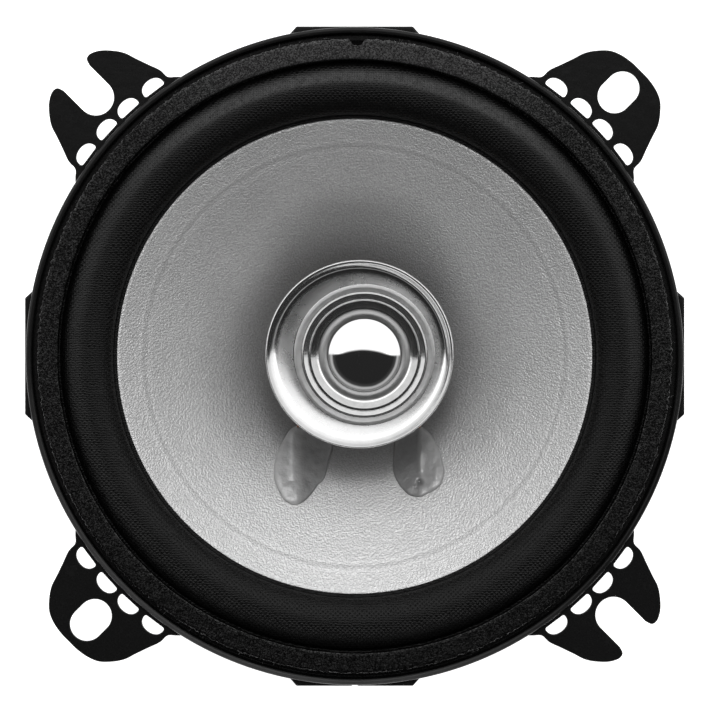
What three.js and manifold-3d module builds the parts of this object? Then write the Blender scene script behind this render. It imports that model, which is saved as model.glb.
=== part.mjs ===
// Coaxial car loudspeaker of the 10 cm class. A stamped steel basket with four fixing ears carries a coated
// cone on a cloth surround, a ferrite ring motor, and a small metal-dome tweeter on a hollow post that
// stands through the motor's pole. Units are millimetres. The axis is Z, +Z points to the listener, and
// Z = 0 is the back face of the yoke. The terminals are on the -Y side.

import * as THREE from 'three';
import Module from 'manifold-3d';
import { mergeVertices } from 'three/addons/utils/BufferGeometryUtils.js';

const wasm = await Module();
wasm.setup();

// --- driving dimensions ---------------------------------------------------------------------------------

const GAP = 0.05; // between pieces that rest on each other
const SHEET = 1.0; // basket steel

const FLANGE_Z = 41.0; // rear face of the flange: the mounting plane
const FLANGE_TOP_Z = FLANGE_Z + SHEET;
const FLANGE_R = 50.8;
const FLAT_DISTANCE = 51.0; // from the axis to the four straight edges
const FLAT_HALF_WIDTH = 9.0;
const BODY_R = 46.0; // what passes through the panel's hole
const LIP_HEIGHT = 1.1;

const EAR_ANGLES_DEG = [45, 135, 225, 315];
const EAR_TIP_R = 62.45;
const SLOT_CENTRE_R = 57.7;
const SLOT_WIDTH = 5.2;
const SLOT_LENGTH = 7.0;
const HOOK_WIDTH = 5.6;
const HOOK_END_R = 56.6;
const PORT_R = 51.35; // flat side of the small D-shaped holes at each ear's root
const PORT_WIDTH = 3.7;
const PORT_HEIGHT = 1.9;
const PORT_ANGLES_DEG = [-8.05, -2.57, 2.57, 8.05];

const SEAT_Z = 17.05; // basket floor, on the top plate
const SEAT_HOLE_R = 12.5;
const WALL_R = 25.5;
const LEDGE_Z = 23.6; // top of the ledge that holds the spider
const LEDGE_R = 30.6;
const FUNNEL_TOP_Z = 38.2;
const WINDOW_INNER_R = 31.6;
const WINDOW_OUTER_R = 44.2;
const WINDOW_HALF_ANGLE = THREE.MathUtils.degToRad(30);

const YOKE_R = 27.0;
const YOKE_THICKNESS = 4.0;
const POLE_R = 9.7;
const POLE_TOP_Z = 17.2;
const POLE_BORE_R = 4.1;
const MAGNET_R = 30.0;
const MAGNET_HOLE_R = 15.0;
const MAGNET_HEIGHT = 8.9;
const TOP_PLATE_THICKNESS = 4.0;
const TOP_PLATE_HOLE_R = 11.15;
const RIVET_CIRCLE_R = 19.0;

const FORMER_R = 10.0; // inside of the voice-coil former
const FORMER_THICKNESS = 0.2;
const FORMER_BOTTOM_Z = 8.5;
const FORMER_TOP_Z = 30.4;
const WINDING_THICKNESS = 0.5;
const WINDING_HEIGHT = 8.0;

const CONE_NECK = [10.35, 28.2]; // radius and height of the front surface
const CONE_BEND = [20.5, 36.8];
const CONE_EDGE = [36.5, 42.0];
const CONE_RIM_R = 38.2;
const CONE_THICKNESS = 0.6;

const SURROUND_INNER_R = 36.7;
const ROLL_INNER_R = 37.2;
const ROLL_OUTER_R = 45.4;
const ROLL_HEIGHT = 3.4;
const SURROUND_OUTER_R = 48.8;
const SURROUND_THICKNESS = 0.4;

const GASKET_INNER_R = 45.9;
const GASKET_OUTER_R = 49.1;
const GASKET_HEIGHT = 2.4;

const DISH_R = 14.25;
const DISH_LIP_Z = 50.0; // front of the whole speaker
const DISH_FLOOR_Z = 48.75;
const HEAD_OFFSET = [0.75, 0.3]; // the tweeter's housing and dish seat this far off the post's axis
const CAPSULE_OFFSET = [0.75, -0.1]; // and its capsule this far off the dish's centre
const DOME_R = 5.6;
const DOME_RISE = 1.5;
const DIAPHRAGM_Z = DISH_FLOOR_Z - 0.8; // front face of the diaphragm's outer land

const BOARD_Y = -35.0; // rivet line of the terminal board
const TERMINAL_X = 8.2;

const WIDE_STEPS = 48; // facets round the flange, the surround and the cone
const MOTOR_STEPS = 36;
const DISH_STEPS = 32;
const SMALL_STEPS = 24;
const RIVET_STEPS = 10;
const WIRE_SIDES = 6;

// --- materials ------------------------------------------------------------------------------------------

function finish(color, roughness, metalness) {
  return new THREE.MeshStandardMaterial({ color, roughness, metalness });
}

const blackSteel = finish(0x1c1c1e, 0.5, 0.6);
const zincSteel = finish(0x9a9a98, 0.45, 0.9);
const brassPlate = finish(0xb49a5a, 0.4, 0.9);
const ferrite = finish(0x35353a, 0.75, 0.1);
const silverCone = finish(0xa9a9ab, 0.45, 0.5);
const blackCloth = finish(0x141416, 0.9, 0.0);
const greyFoam = finish(0x38383b, 0.95, 0.0);
const amberCloth = finish(0x8a6a3c, 0.9, 0.0);
const kaptonFilm = finish(0xa86a2c, 0.5, 0.0);
const copperWire = finish(0xb06a3c, 0.35, 0.9);
const blackPlastic = finish(0x1a1a1c, 0.55, 0.0);
const polishedSilver = finish(0xd6d6d8, 0.18, 1.0);
const mirrorFilm = finish(0xe6e6e8, 0.05, 1.0);
const glue = finish(0x7c7c7a, 0.3, 0.0);
const phenolic = finish(0x5c3a22, 0.6, 0.0);
const capSleeve = finish(0x24242c, 0.4, 0.0);
const redJacket = finish(0xa02a24, 0.5, 0.0);
const blackJacket = finish(0x202022, 0.5, 0.0);

// --- shape helpers --------------------------------------------------------------------------------------

function signedVolume(positions, triangles) {
  const [a, b, c] = [new THREE.Vector3(), new THREE.Vector3(), new THREE.Vector3()];
  let total = 0;
  for (let i = 0; i < triangles.length; i += 3) {
    a.fromArray(positions, 3 * triangles[i]);
    b.fromArray(positions, 3 * triangles[i + 1]);
    c.fromArray(positions, 3 * triangles[i + 2]);
    total += a.dot(b.cross(c)) / 6;
  }
  return total;
}

/** A closed geometry as a solid, with its seams welded and its faces turned outwards. */
function solidOf(geometry) {
  const bare = geometry.clone();
  bare.deleteAttribute('normal');
  bare.deleteAttribute('uv');
  const welded = mergeVertices(bare, 1e-4);
  const index = welded.index.array;
  const positions = new Float32Array(welded.attributes.position.array);
  const triangles = [];
  for (let i = 0; i < index.length; i += 3) {
    const [a, b, c] = index.slice(i, i + 3);
    if (a !== b && b !== c && c !== a) triangles.push(a, b, c);
  }
  if (signedVolume(positions, triangles) < 0) triangles.reverse();
  const mesh = new wasm.Mesh({ numProp: 3, vertProperties: positions, triVerts: new Uint32Array(triangles) });
  return new wasm.Manifold(mesh);
}

function geometryOf(solid) {
  const { vertProperties, triVerts } = solid.getMesh();
  const geometry = new THREE.BufferGeometry();
  geometry.setAttribute('position', new THREE.BufferAttribute(new Float32Array(vertProperties), 3));
  geometry.setIndex(new THREE.BufferAttribute(new Uint32Array(triVerts), 1));
  geometry.computeVertexNormals();
  return geometry;
}

/** A closed outline of [radius, height] points turned about Z. */
function revolve(outline, steps) {
  const points = [...outline, outline[0]].map(([radius, height]) => new THREE.Vector2(radius, height));
  return solidOf(new THREE.LatheGeometry(points, steps).rotateX(Math.PI / 2));
}

function ring(innerR, outerR, low, high, steps) {
  return revolve([[innerR, low], [outerR, low], [outerR, high], [innerR, high]], steps);
}

function disc(radius, low, high, steps) {
  return revolve([[0, low], [radius, low], [radius, high], [0, high]], steps);
}

/** A flat outline pulled up from one height to another. */
function prism(shape, low, high, curveSegments = 4) {
  const options = { depth: high - low, bevelEnabled: false, curveSegments };
  return solidOf(new THREE.ExtrudeGeometry(shape, options).translate(0, 0, low));
}

function polygon(points) {
  return new THREE.Shape(points.map(([x, y]) => new THREE.Vector2(x, y)));
}

function block(low, high) {
  const size = high.map((value, axis) => value - low[axis]);
  const centre = high.map((value, axis) => (value + low[axis]) / 2);
  return solidOf(new THREE.BoxGeometry(...size).translate(...centre));
}

/** A round wire along a smooth curve through the points. */
function wire(points, diameter, steps) {
  const path = new THREE.CatmullRomCurve3(points.map((point) => new THREE.Vector3(...point)));
  const section = new THREE.Shape();
  section.absarc(0, 0, diameter / 2, 0, 2 * Math.PI);
  const options = { steps, extrudePath: path, curveSegments: WIRE_SIDES / 2 };
  return solidOf(new THREE.ExtrudeGeometry(section, options));
}

function spun(solid, degrees) {
  return solid.rotate([0, 0, degrees]);
}

/** A sheet's closed outline: one face as drawn, the other the given distance below it. */
function sheetOutline(face, thickness) {
  const back = face.map(([radius, height]) => [radius, height - thickness]).reverse();
  return [...face, ...back];
}

function rivet(shankR, headR, low, high, headHeight) {
  const top = high + headHeight;
  const outline = [[0, low], [shankR, low], [shankR, high], [headR, high], [headR * 0.8, top], [0, top]];
  return revolve(outline, RIVET_STEPS);
}

// --- assembly -------------------------------------------------------------------------------------------

const speaker = new THREE.Group();

function add(name, solid, material, parent = speaker) {
  const mesh = new THREE.Mesh(geometryOf(solid), material);
  mesh.name = name;
  parent.add(mesh);
  return mesh;
}

// --- basket ---------------------------------------------------------------------------------------------

/** Half of an ear's edge as [across, outward] points, from the flange to where it goes round the tip. */
const EAR_FLANK = [
  [11.5, 49.6], [11.0, 50.1], [10.1, 51.0], [10.0, 52.5], [9.3, 54.5], [8.6, 56.5], [8.0, 58.3], [7.0, 59.8],
  [5.5, 61.3], [4.0, 62.0],
];
const SLOTTED_TIP = [[2.0, 62.4], [0, EAR_TIP_R]];
const HOOK_TIP = [[3.2, 61.8], [2.8, 60.8]];

function mirrored(half) {
  const other = half.map(([across, outward]) => [-across, outward]).reverse();
  return [...half, ...other];
}

function earShape(isHook) {
  if (!isHook) {
    const half = [...EAR_FLANK, ...SLOTTED_TIP];
    const left = half.slice(0, -1).map(([across, outward]) => [-across, outward]).reverse();
    const shape = polygon([...half, ...left]);
    const slot = new THREE.Path();
    const reach = (SLOT_LENGTH - SLOT_WIDTH) / 2;
    slot.absarc(0, SLOT_CENTRE_R + reach, SLOT_WIDTH / 2, 0, Math.PI, false);
    slot.absarc(0, SLOT_CENTRE_R - reach, SLOT_WIDTH / 2, Math.PI, 2 * Math.PI, false);
    shape.holes.push(slot);
    return shape;
  }
  const notch = [];
  const notchSteps = 8;
  for (let i = 0; i <= notchSteps; i += 1) {
    const angle = -(Math.PI * i) / notchSteps;
    notch.push([(HOOK_WIDTH / 2) * Math.cos(angle), HOOK_END_R + (HOOK_WIDTH / 2) * Math.sin(angle)]);
  }
  const edge = mirrored([...EAR_FLANK, ...HOOK_TIP]);
  const middle = edge.length / 2;
  return polygon([...edge.slice(0, middle), ...notch, ...edge.slice(middle)]);
}

function portShape() {
  const shape = new THREE.Shape();
  shape.moveTo(-PORT_WIDTH / 2 + 0.4, 0);
  shape.lineTo(PORT_WIDTH / 2 - 0.4, 0);
  shape.quadraticCurveTo(PORT_WIDTH / 2, 0, PORT_WIDTH / 2, 0.4);
  shape.bezierCurveTo(PORT_WIDTH / 2, 1.4, 1.0, PORT_HEIGHT, 0, PORT_HEIGHT);
  shape.bezierCurveTo(-1.0, PORT_HEIGHT, -PORT_WIDTH / 2, 1.4, -PORT_WIDTH / 2, 0.4);
  shape.quadraticCurveTo(-PORT_WIDTH / 2, 0, -PORT_WIDTH / 2 + 0.4, 0);
  return shape;
}

function ear(isHook) {
  let plate = prism(earShape(isHook), FLANGE_Z, FLANGE_TOP_Z);
  const port = prism(portShape(), FLANGE_Z - 1, FLANGE_TOP_Z + 2, 2).translate([0, PORT_R, 0]);
  for (const degrees of PORT_ANGLES_DEG) plate = plate.subtract(spun(port, degrees));
  return plate;
}

/** A ring sector with rounded corners, centred on +X. */
function windowShape(innerR, outerR, halfAngle, fillet) {
  const at = (radius, angle) => [radius * Math.cos(angle), radius * Math.sin(angle)];
  const innerTurn = fillet / innerR;
  const outerTurn = fillet / outerR;
  const shape = new THREE.Shape();
  shape.absarc(0, 0, outerR, outerTurn - halfAngle, halfAngle - outerTurn, false);
  shape.quadraticCurveTo(...at(outerR, halfAngle), ...at(outerR - fillet, halfAngle));
  shape.lineTo(...at(innerR + fillet, halfAngle));
  shape.quadraticCurveTo(...at(innerR, halfAngle), ...at(innerR, halfAngle - innerTurn));
  shape.absarc(0, 0, innerR, halfAngle - innerTurn, innerTurn - halfAngle, true);
  shape.quadraticCurveTo(...at(innerR, -halfAngle), ...at(innerR + fillet, -halfAngle));
  shape.lineTo(...at(outerR - fillet, -halfAngle));
  shape.quadraticCurveTo(...at(outerR, -halfAngle), ...at(outerR, outerTurn - halfAngle));
  return shape;
}

function basket() {
  const lipTop = FLANGE_TOP_Z + LIP_HEIGHT;
  let body = revolve([
    [SEAT_HOLE_R, SEAT_Z], [WALL_R, SEAT_Z], [WALL_R, LEDGE_Z - SHEET], [LEDGE_R, LEDGE_Z - SHEET],
    [BODY_R, FUNNEL_TOP_Z], [BODY_R, FLANGE_Z], [FLANGE_R, FLANGE_Z], [FLANGE_R, lipTop - 0.5],
    [FLANGE_R - 0.4, lipTop], [FLANGE_R - 0.8, lipTop - 0.2], [FLANGE_R - 1.0, FLANGE_TOP_Z],
    [BODY_R - SHEET, FLANGE_TOP_Z], [BODY_R - SHEET, FUNNEL_TOP_Z + 0.7],
    [LEDGE_R - 0.7, LEDGE_Z], [WALL_R - SHEET, LEDGE_Z], [WALL_R - SHEET, SEAT_Z + SHEET],
    [SEAT_HOLE_R, SEAT_Z + SHEET],
  ], WIDE_STEPS);

  const flat = polygon([
    [47, -10], [49.9, -10], [FLAT_DISTANCE, -FLAT_HALF_WIDTH], [FLAT_DISTANCE, FLAT_HALF_WIDTH],
    [49.9, 10], [47, 10],
  ]);
  const opening = windowShape(WINDOW_INNER_R, WINDOW_OUTER_R, WINDOW_HALF_ANGLE, 3);
  const rivetHole = disc(1.5, SEAT_Z - 1, SEAT_Z + SHEET + 1, RIVET_STEPS).translate([RIVET_CIRCLE_R, 0, 0]);
  EAR_ANGLES_DEG.forEach((degrees, i) => {
    body = body.subtract(spun(prism(opening, LEDGE_Z - 4, FLANGE_Z - 1.5, 3), degrees));
    body = body.add(spun(prism(flat, FLANGE_Z, FLANGE_TOP_Z), degrees + 45));
    body = body.add(spun(ear(i % 2 === 1), degrees - 90));
    body = body.subtract(spun(rivetHole, degrees));
  });

  const boardTab = block([-4.5, BOARD_Y - 3.5, LEDGE_Z - SHEET], [4.5, -WALL_R - 2, LEDGE_Z]);
  const boardHole = disc(1.35, LEDGE_Z - 3, LEDGE_Z + 1, RIVET_STEPS).translate([0, BOARD_Y, 0]);
  const edgeNick = disc(0.45, FLANGE_Z - 1, FLANGE_TOP_Z + 1, RIVET_STEPS).translate([0, -FLAT_DISTANCE, 0]);
  return body.add(boardTab).subtract(boardHole).subtract(edgeNick);
}

function gasket() {
  const low = FLANGE_TOP_Z + SURROUND_THICKNESS + 2 * GAP;
  const high = low + GASKET_HEIGHT;
  const edge = GASKET_OUTER_R + 0.5;
  const notch = polygon([[-1.3, edge], [-0.1, GASKET_OUTER_R - 1], [1.1, GASKET_OUTER_R - 1], [2.3, edge]]);
  const band = ring(GASKET_INNER_R, GASKET_OUTER_R, low, high, WIDE_STEPS);
  return band.subtract(prism(notch, low - 1, high + 1));
}

add('basket', basket(), blackSteel);
add('gasket', gasket(), greyFoam);

// --- motor ----------------------------------------------------------------------------------------------

const NUT_POCKET_R = 8.2;
const NUT_POCKET_TOP_Z = 5.8;
const WIRE_GROOVE_WIDTH = 3.2;
const WIRE_GROOVE_DEPTH = 2.2;
const magnetLowZ = YOKE_THICKNESS + GAP;
const magnetHighZ = magnetLowZ + MAGNET_HEIGHT;
const topPlateLowZ = magnetHighZ + GAP;
const topPlateHighZ = topPlateLowZ + TOP_PLATE_THICKNESS;

function yoke() {
  const steel = revolve([
    [NUT_POCKET_R, 0], [YOKE_R - 0.4, 0], [YOKE_R, 0.4], [YOKE_R, YOKE_THICKNESS], [POLE_R, YOKE_THICKNESS],
    [POLE_R, POLE_TOP_Z], [POLE_BORE_R, POLE_TOP_Z], [POLE_BORE_R, NUT_POCKET_TOP_Z],
    [NUT_POCKET_R, NUT_POCKET_TOP_Z],
  ], MOTOR_STEPS);
  const half = WIRE_GROOVE_WIDTH / 2;
  return steel.subtract(block([-half, -YOKE_R - 1, -1], [half, -NUT_POCKET_R + 0.5, WIRE_GROOVE_DEPTH]));
}

function topPlate() {
  let plate = ring(TOP_PLATE_HOLE_R, YOKE_R, topPlateLowZ, topPlateHighZ, MOTOR_STEPS);
  const pit = disc(1.5, topPlateHighZ - 2.5, topPlateHighZ + 1, RIVET_STEPS).translate([RIVET_CIRCLE_R, 0, 0]);
  for (const degrees of EAR_ANGLES_DEG) plate = plate.subtract(spun(pit, degrees));
  return plate;
}

add('yoke', yoke(), zincSteel);
add('magnet_ring', ring(MAGNET_HOLE_R, MAGNET_R, magnetLowZ, magnetHighZ, MOTOR_STEPS), ferrite);
add('top_plate', topPlate(), zincSteel);
EAR_ANGLES_DEG.forEach((degrees, i) => {
  const body = rivet(1.35, 2.3, topPlateHighZ - 2.3, SEAT_Z + SHEET + GAP, 0.9);
  add(`motor_rivet_${i + 1}`, spun(body.translate([RIVET_CIRCLE_R, 0, 0]), degrees), zincSteel);
});

// --- moving system --------------------------------------------------------------------------------------

/** Points of the cone's front surface from neck to edge, on one quadratic curve. */
function coneFace(pieces) {
  const curve = new THREE.QuadraticBezierCurve(
    new THREE.Vector2(...CONE_NECK), new THREE.Vector2(...CONE_BEND), new THREE.Vector2(...CONE_EDGE),
  );
  return curve.getPoints(pieces).map((point) => [point.x, point.y]);
}

const CONE_PIECES = 5;
const coneFront = [...coneFace(CONE_PIECES), [CONE_RIM_R, CONE_EDGE[1]]];

/** The half-roll's points from inside to outside. */
function rollFace(pieces, baseZ) {
  const centre = (ROLL_INNER_R + ROLL_OUTER_R) / 2;
  const halfWidth = (ROLL_OUTER_R - ROLL_INNER_R) / 2;
  const points = [];
  for (let i = 0; i <= pieces; i += 1) {
    const angle = Math.PI * (1 - i / pieces);
    points.push([centre + halfWidth * Math.cos(angle), baseZ + ROLL_HEIGHT * Math.sin(angle)]);
  }
  return points;
}

function surround() {
  const top = FLANGE_TOP_Z + GAP + SURROUND_THICKNESS;
  const centre = (ROLL_INNER_R + ROLL_OUTER_R) / 2;
  const face = [[SURROUND_INNER_R, top], ...rollFace(6, top), [SURROUND_OUTER_R, top]];
  const back = face.map(([radius, height]) => {
    const onRoll = height > top + 0.01;
    const inward = onRoll ? Math.sign(centre - radius) * 0.25 : 0;
    return [radius + inward, height - SURROUND_THICKNESS];
  });
  return revolve([...face, ...back.reverse()], WIDE_STEPS);
}

function spider() {
  const low = LEDGE_Z + GAP;
  const thickness = 0.4;
  const innerR = FORMER_R + FORMER_THICKNESS + 0.1;
  const waveR = [12.8, 15.4, 18.0, 20.6, 23.2];
  const face = [[innerR, low + thickness], [11.8, low + thickness]];
  waveR.forEach((radius, i) => face.push([radius, low + thickness + (i % 2 === 0 ? 0.7 : -0.7)]));
  face.push([24.4, low + thickness], [28.8, low + thickness]);
  return revolve(sheetOutline(face, thickness), MOTOR_STEPS);
}

const formerOuterR = FORMER_R + FORMER_THICKNESS;
const windingLowZ = topPlateLowZ + TOP_PLATE_THICKNESS / 2 - WINDING_HEIGHT / 2;
const windingHighZ = windingLowZ + WINDING_HEIGHT;
const windingInnerR = formerOuterR + 0.02;

add('cone', revolve(sheetOutline(coneFront, CONE_THICKNESS), WIDE_STEPS), silverCone);
add('surround', surround(), blackCloth);
add('spider', spider(), amberCloth);
add('coil_former', ring(FORMER_R, formerOuterR, FORMER_BOTTOM_Z, FORMER_TOP_Z, MOTOR_STEPS), kaptonFilm);
add(
  'coil_winding',
  ring(windingInnerR, windingInnerR + WINDING_THICKNESS, windingLowZ, windingHighZ, MOTOR_STEPS),
  copperWire,
);

/** Height of the cone's front surface at a radius. */
function coneHeight(radius) {
  for (let i = 1; i < coneFront.length; i += 1) {
    const [r0, z0] = coneFront[i - 1];
    const [r1, z1] = coneFront[i];
    if (radius <= r1) return z0 + ((z1 - z0) * (radius - r0)) / (r1 - r0);
  }
  return CONE_EDGE[1];
}

// Each dab of glue covers a coil lead where it lies on the cone. The outlines are seen from the front.
const GLUE_HEIGHT = 0.9;
const GLUE_DABS = {
  left: [
    [-10.2, -11.6], [-11.5, -13.8], [-12.5, -16.4], [-12.6, -19.0], [-11.7, -21.3], [-10.3, -22.9],
    [-9.2, -23.2], [-7.5, -22.3], [-5.7, -20.1], [-4.4, -18.1], [-3.5, -14.3], [-4.1, -11.6],
  ],
  right: [
    [6.5, -11.6], [6.2, -15.2], [6.1, -18.0], [6.9, -20.0], [8.4, -21.6], [10.3, -21.9],
    [12.4, -20.9], [13.8, -19.1], [14.0, -17.0], [13.5, -15.3], [12.8, -13.8], [11.5, -11.6],
  ],
};
const LEAD_X = { left: -8.9, right: 10.2 };

function glueDab(outline) {
  const above = (lift) => coneFront.map(([radius, height]) => [radius, height + lift]);
  const skin = revolve([...above(GAP + GLUE_HEIGHT), ...above(GAP).reverse()], WIDE_STEPS);
  return skin.intersect(prism(polygon(outline), CONE_NECK[1], CONE_EDGE[1]));
}

function coilLead(x) {
  const lift = 0.7;
  const towards = Math.sign(x);
  const start = [towards * 8.1, -7.3];
  const points = [start, [towards * 8.4, -9.2], [x, -11.1]];
  return wire(points.map(([px, py]) => [px, py, coneHeight(Math.hypot(px, py)) + lift]), 0.5, 6);
}

for (const side of ['left', 'right']) {
  add(`glue_dab_${side}`, glueDab(GLUE_DABS[side]), glue);
  add(`coil_lead_${side}`, coilLead(LEAD_X[side]), copperWire);
}

// --- tweeter --------------------------------------------------------------------------------------------

const POST_WIRE_R = 2.0;
const POST_FOOT_Z = 2.4;
const POST_HEAD_Z = 39.4;
const HOUSING_FLOOR_Z = POST_HEAD_Z + GAP;

function tweeterPost() {
  const shoulderZ = POLE_TOP_Z + GAP;
  return revolve([
    [POST_WIRE_R, POST_FOOT_Z], [3.8, POST_FOOT_Z], [3.8, shoulderZ], [6.2, shoulderZ],
    [6.2, shoulderZ + 1.2],
    [4.6, shoulderZ + 2.6], [4.6, POST_HEAD_Z - 3.0], [8.0, POST_HEAD_Z - 1.2], [8.0, POST_HEAD_Z],
    [POST_WIRE_R, POST_HEAD_Z],
  ], SMALL_STEPS);
}

function postNut() {
  const acrossFlats = 13;
  const cornerR = acrossFlats / Math.sqrt(3);
  const shape = new THREE.Shape();
  for (let i = 0; i < 6; i += 1) {
    const angle = (Math.PI * i) / 3;
    const point = [cornerR * Math.cos(angle), cornerR * Math.sin(angle)];
    if (i === 0) shape.moveTo(...point);
    else shape.lineTo(...point);
  }
  const bore = new THREE.Path();
  bore.absarc(0, 0, 3.9, 0, 2 * Math.PI, true);
  shape.holes.push(bore);
  return prism(shape, 2.6, NUT_POCKET_TOP_Z - GAP, 12);
}

function tweeterHousing() {
  const top = DISH_FLOOR_Z - 0.5 - GAP;
  return revolve([
    [2.6, HOUSING_FLOOR_Z], [9.4, HOUSING_FLOOR_Z], [10.8, HOUSING_FLOOR_Z + 1.4], [10.8, top], [10.0, top],
    [10.0, HOUSING_FLOOR_Z + 1.2], [2.6, HOUSING_FLOOR_Z + 1.2],
  ], SMALL_STEPS);
}

function tweeterDish() {
  const face = [
    [10.1, DISH_FLOOR_Z], [11.65, DISH_FLOOR_Z + 0.02], [12.3, DISH_FLOOR_Z + 0.23],
    [12.9, DISH_FLOOR_Z + 0.52], [13.5, DISH_FLOOR_Z + 0.92], [13.95, DISH_LIP_Z],
    [14.15, DISH_LIP_Z - 0.1], [DISH_R, DISH_LIP_Z - 0.4],
  ];
  const back = [
    [DISH_R - 0.1, DISH_LIP_Z - 0.75], [13.6, DISH_FLOOR_Z + 0.4], [12.9, DISH_FLOOR_Z + 0.02],
    [12.2, DISH_FLOOR_Z - 0.25], [11.6, DISH_FLOOR_Z - 0.4], [10.1, DISH_FLOOR_Z - 0.4],
  ];
  return revolve([...face, ...back], DISH_STEPS);
}

const coilR = DOME_R - 0.1;

function tweeterFaceRing() {
  const floor = DISH_FLOOR_Z + GAP;
  const throat = DIAPHRAGM_Z + GAP;
  return revolve([
    [9.2, floor + 0.02], [10.8, floor + 0.02], [10.7, floor + 0.12], [9.75, floor + 0.33],
    [9.5, floor + 0.38], [9.25, floor + 0.32], [9.0, floor], [8.8, floor], [8.65, floor + 0.2],
    [8.5, floor + 0.24], [8.25, floor + 0.08], [7.25, throat + 0.25], [7.0, throat + 0.15],
    [7.0, throat], [8.4, throat], [9.2, throat + 0.4],
  ], DISH_STEPS);
}

function domeProfile(radius, rise, pieces) {
  const sphere = (radius * radius + rise * rise) / (2 * rise);
  const points = [];
  for (let i = 0; i <= pieces; i += 1) {
    const across = (radius * i) / pieces;
    points.push([across, Math.sqrt(sphere * sphere - across * across) - sphere + rise]);
  }
  return points;
}

function tweeterDome() {
  const base = DIAPHRAGM_Z - 0.15;
  const face = domeProfile(DOME_R, DOME_RISE, 4).map(([radius, height]) => [radius, base + height]);
  return revolve(sheetOutline(face, 0.15), SMALL_STEPS);
}

function tweeterSuspension() {
  const top = DIAPHRAGM_Z;
  const face = [[DOME_R + 0.06, top - 0.12], [5.95, top + 0.25], [6.5, top + 0.25], [6.95, top], [8.6, top]];
  return revolve(sheetOutline(face, 0.15), SMALL_STEPS);
}

const head = new THREE.Group();
head.position.set(...HEAD_OFFSET, 0);
speaker.add(head);
const capsule = new THREE.Group();
capsule.position.set(...CAPSULE_OFFSET, 0);
head.add(capsule);

const capsuleFloorZ = HOUSING_FLOOR_Z + 1.5;
const capsuleCupZ = capsuleFloorZ + 1.4;
const polePlateZ = capsuleCupZ + 1.8;
const coilLowZ = polePlateZ + 0.85;
const yokeRimZ = DIAPHRAGM_Z - 0.15 - GAP;

add('tweeter_post', tweeterPost(), blackPlastic);
add('post_nut', postNut(), zincSteel);
add('tweeter_housing', tweeterHousing(), blackPlastic, head);
add('tweeter_dish', tweeterDish(), polishedSilver, head);
add('tweeter_face_ring', tweeterFaceRing(), polishedSilver, capsule);
add('tweeter_dome', tweeterDome(), mirrorFilm, capsule);
add('tweeter_suspension', tweeterSuspension(), mirrorFilm, capsule);
add('tweeter_coil', ring(coilR - 0.35, coilR, coilLowZ, DIAPHRAGM_Z - 0.35, SMALL_STEPS), copperWire, capsule);
add('tweeter_pole_plate', disc(4.85, polePlateZ, polePlateZ + 1.65, SMALL_STEPS), zincSteel, capsule);
add('tweeter_magnet', disc(4.6, capsuleCupZ + GAP, polePlateZ - GAP, SMALL_STEPS), ferrite, capsule);
add(
  'tweeter_yoke',
  revolve([
    [0, capsuleFloorZ], [8.6, capsuleFloorZ], [8.6, yokeRimZ], [5.85, yokeRimZ],
    [5.85, polePlateZ + 0.65], [6.6, polePlateZ - 0.35], [6.6, capsuleCupZ], [0, capsuleCupZ],
  ], SMALL_STEPS),
  zincSteel,
  capsule,
);

// --- terminals and wiring -------------------------------------------------------------------------------

const BOARD_TOP_Z = LEDGE_Z - SHEET - GAP;
const BOARD_THICKNESS = 1.5;
const boardLowZ = BOARD_TOP_Z - BOARD_THICKNESS;
const tagHighZ = boardLowZ - GAP;
const TAG_THICKNESS = 0.8;

function boardShape() {
  const shape = polygon([[-12, -39.5], [12, -39.5], [12, -31.2], [-12, -31.2]]);
  for (const x of [-TERMINAL_X, 0, TERMINAL_X]) {
    const hole = new THREE.Path();
    hole.absarc(x, BOARD_Y, 1.35, 0, 2 * Math.PI, true);
    shape.holes.push(hole);
  }
  return shape;
}

/** A flat push-on blade with a wider foot that is riveted to the board. */
function terminal(x, bladeWidth) {
  const half = bladeWidth / 2;
  const shape = polygon([
    [x - 3, BOARD_Y + 2.8], [x - 3, -38.6], [x - half, -39.2], [x - half, -44.6], [x - half + 0.6, -45.6],
    [x + half - 0.6, -45.6], [x + half, -44.6], [x + half, -39.2], [x + 3, -38.6], [x + 3, BOARD_Y + 2.8],
  ]);
  const hole = new THREE.Path();
  hole.absarc(x, BOARD_Y, 1.35, 0, 2 * Math.PI, true);
  shape.holes.push(hole);
  return prism(shape, tagHighZ - TAG_THICKNESS, tagHighZ);
}

const tagRivetLowZ = tagHighZ - TAG_THICKNESS - 0.3;
const capacitorCentre = [0, -MAGNET_R - 3.5, 10.2];
const CAPACITOR_R = 3.15;
const CAPACITOR_LENGTH = 11.5;

function capacitor() {
  const half = CAPACITOR_LENGTH / 2;
  const r = CAPACITOR_R;
  const outline = [
    [0, -half], [r - 0.3, -half], [r, 0.3 - half], [r, half - 1.8], [r - 0.4, half - 1.4], [r, half - 1.0],
    [r, half - 0.3], [r - 0.3, half], [0, half],
  ];
  return revolve(outline, 16).rotate([0, 90, 0]).translate(capacitorCentre);
}

add('terminal_board', prism(boardShape(), boardLowZ, BOARD_TOP_Z), phenolic);
add('terminal_positive', terminal(-TERMINAL_X, 4.8), brassPlate);
add('terminal_negative', terminal(TERMINAL_X, 2.8), brassPlate);
const tagRivet = rivet(1.2, 2.0, tagRivetLowZ, BOARD_TOP_Z + GAP, 0.6);
add('terminal_rivet_positive', tagRivet.translate([-TERMINAL_X, BOARD_Y, 0]), brassPlate);
add('terminal_rivet_negative', tagRivet.translate([TERMINAL_X, BOARD_Y, 0]), brassPlate);
const boardRivet = rivet(1.2, 2.1, boardLowZ - 0.4, LEDGE_Z + GAP, 0.8);
add('board_rivet', boardRivet.translate([0, BOARD_Y, 0]), zincSteel);
add('crossover_capacitor', capacitor(), capSleeve);

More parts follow.
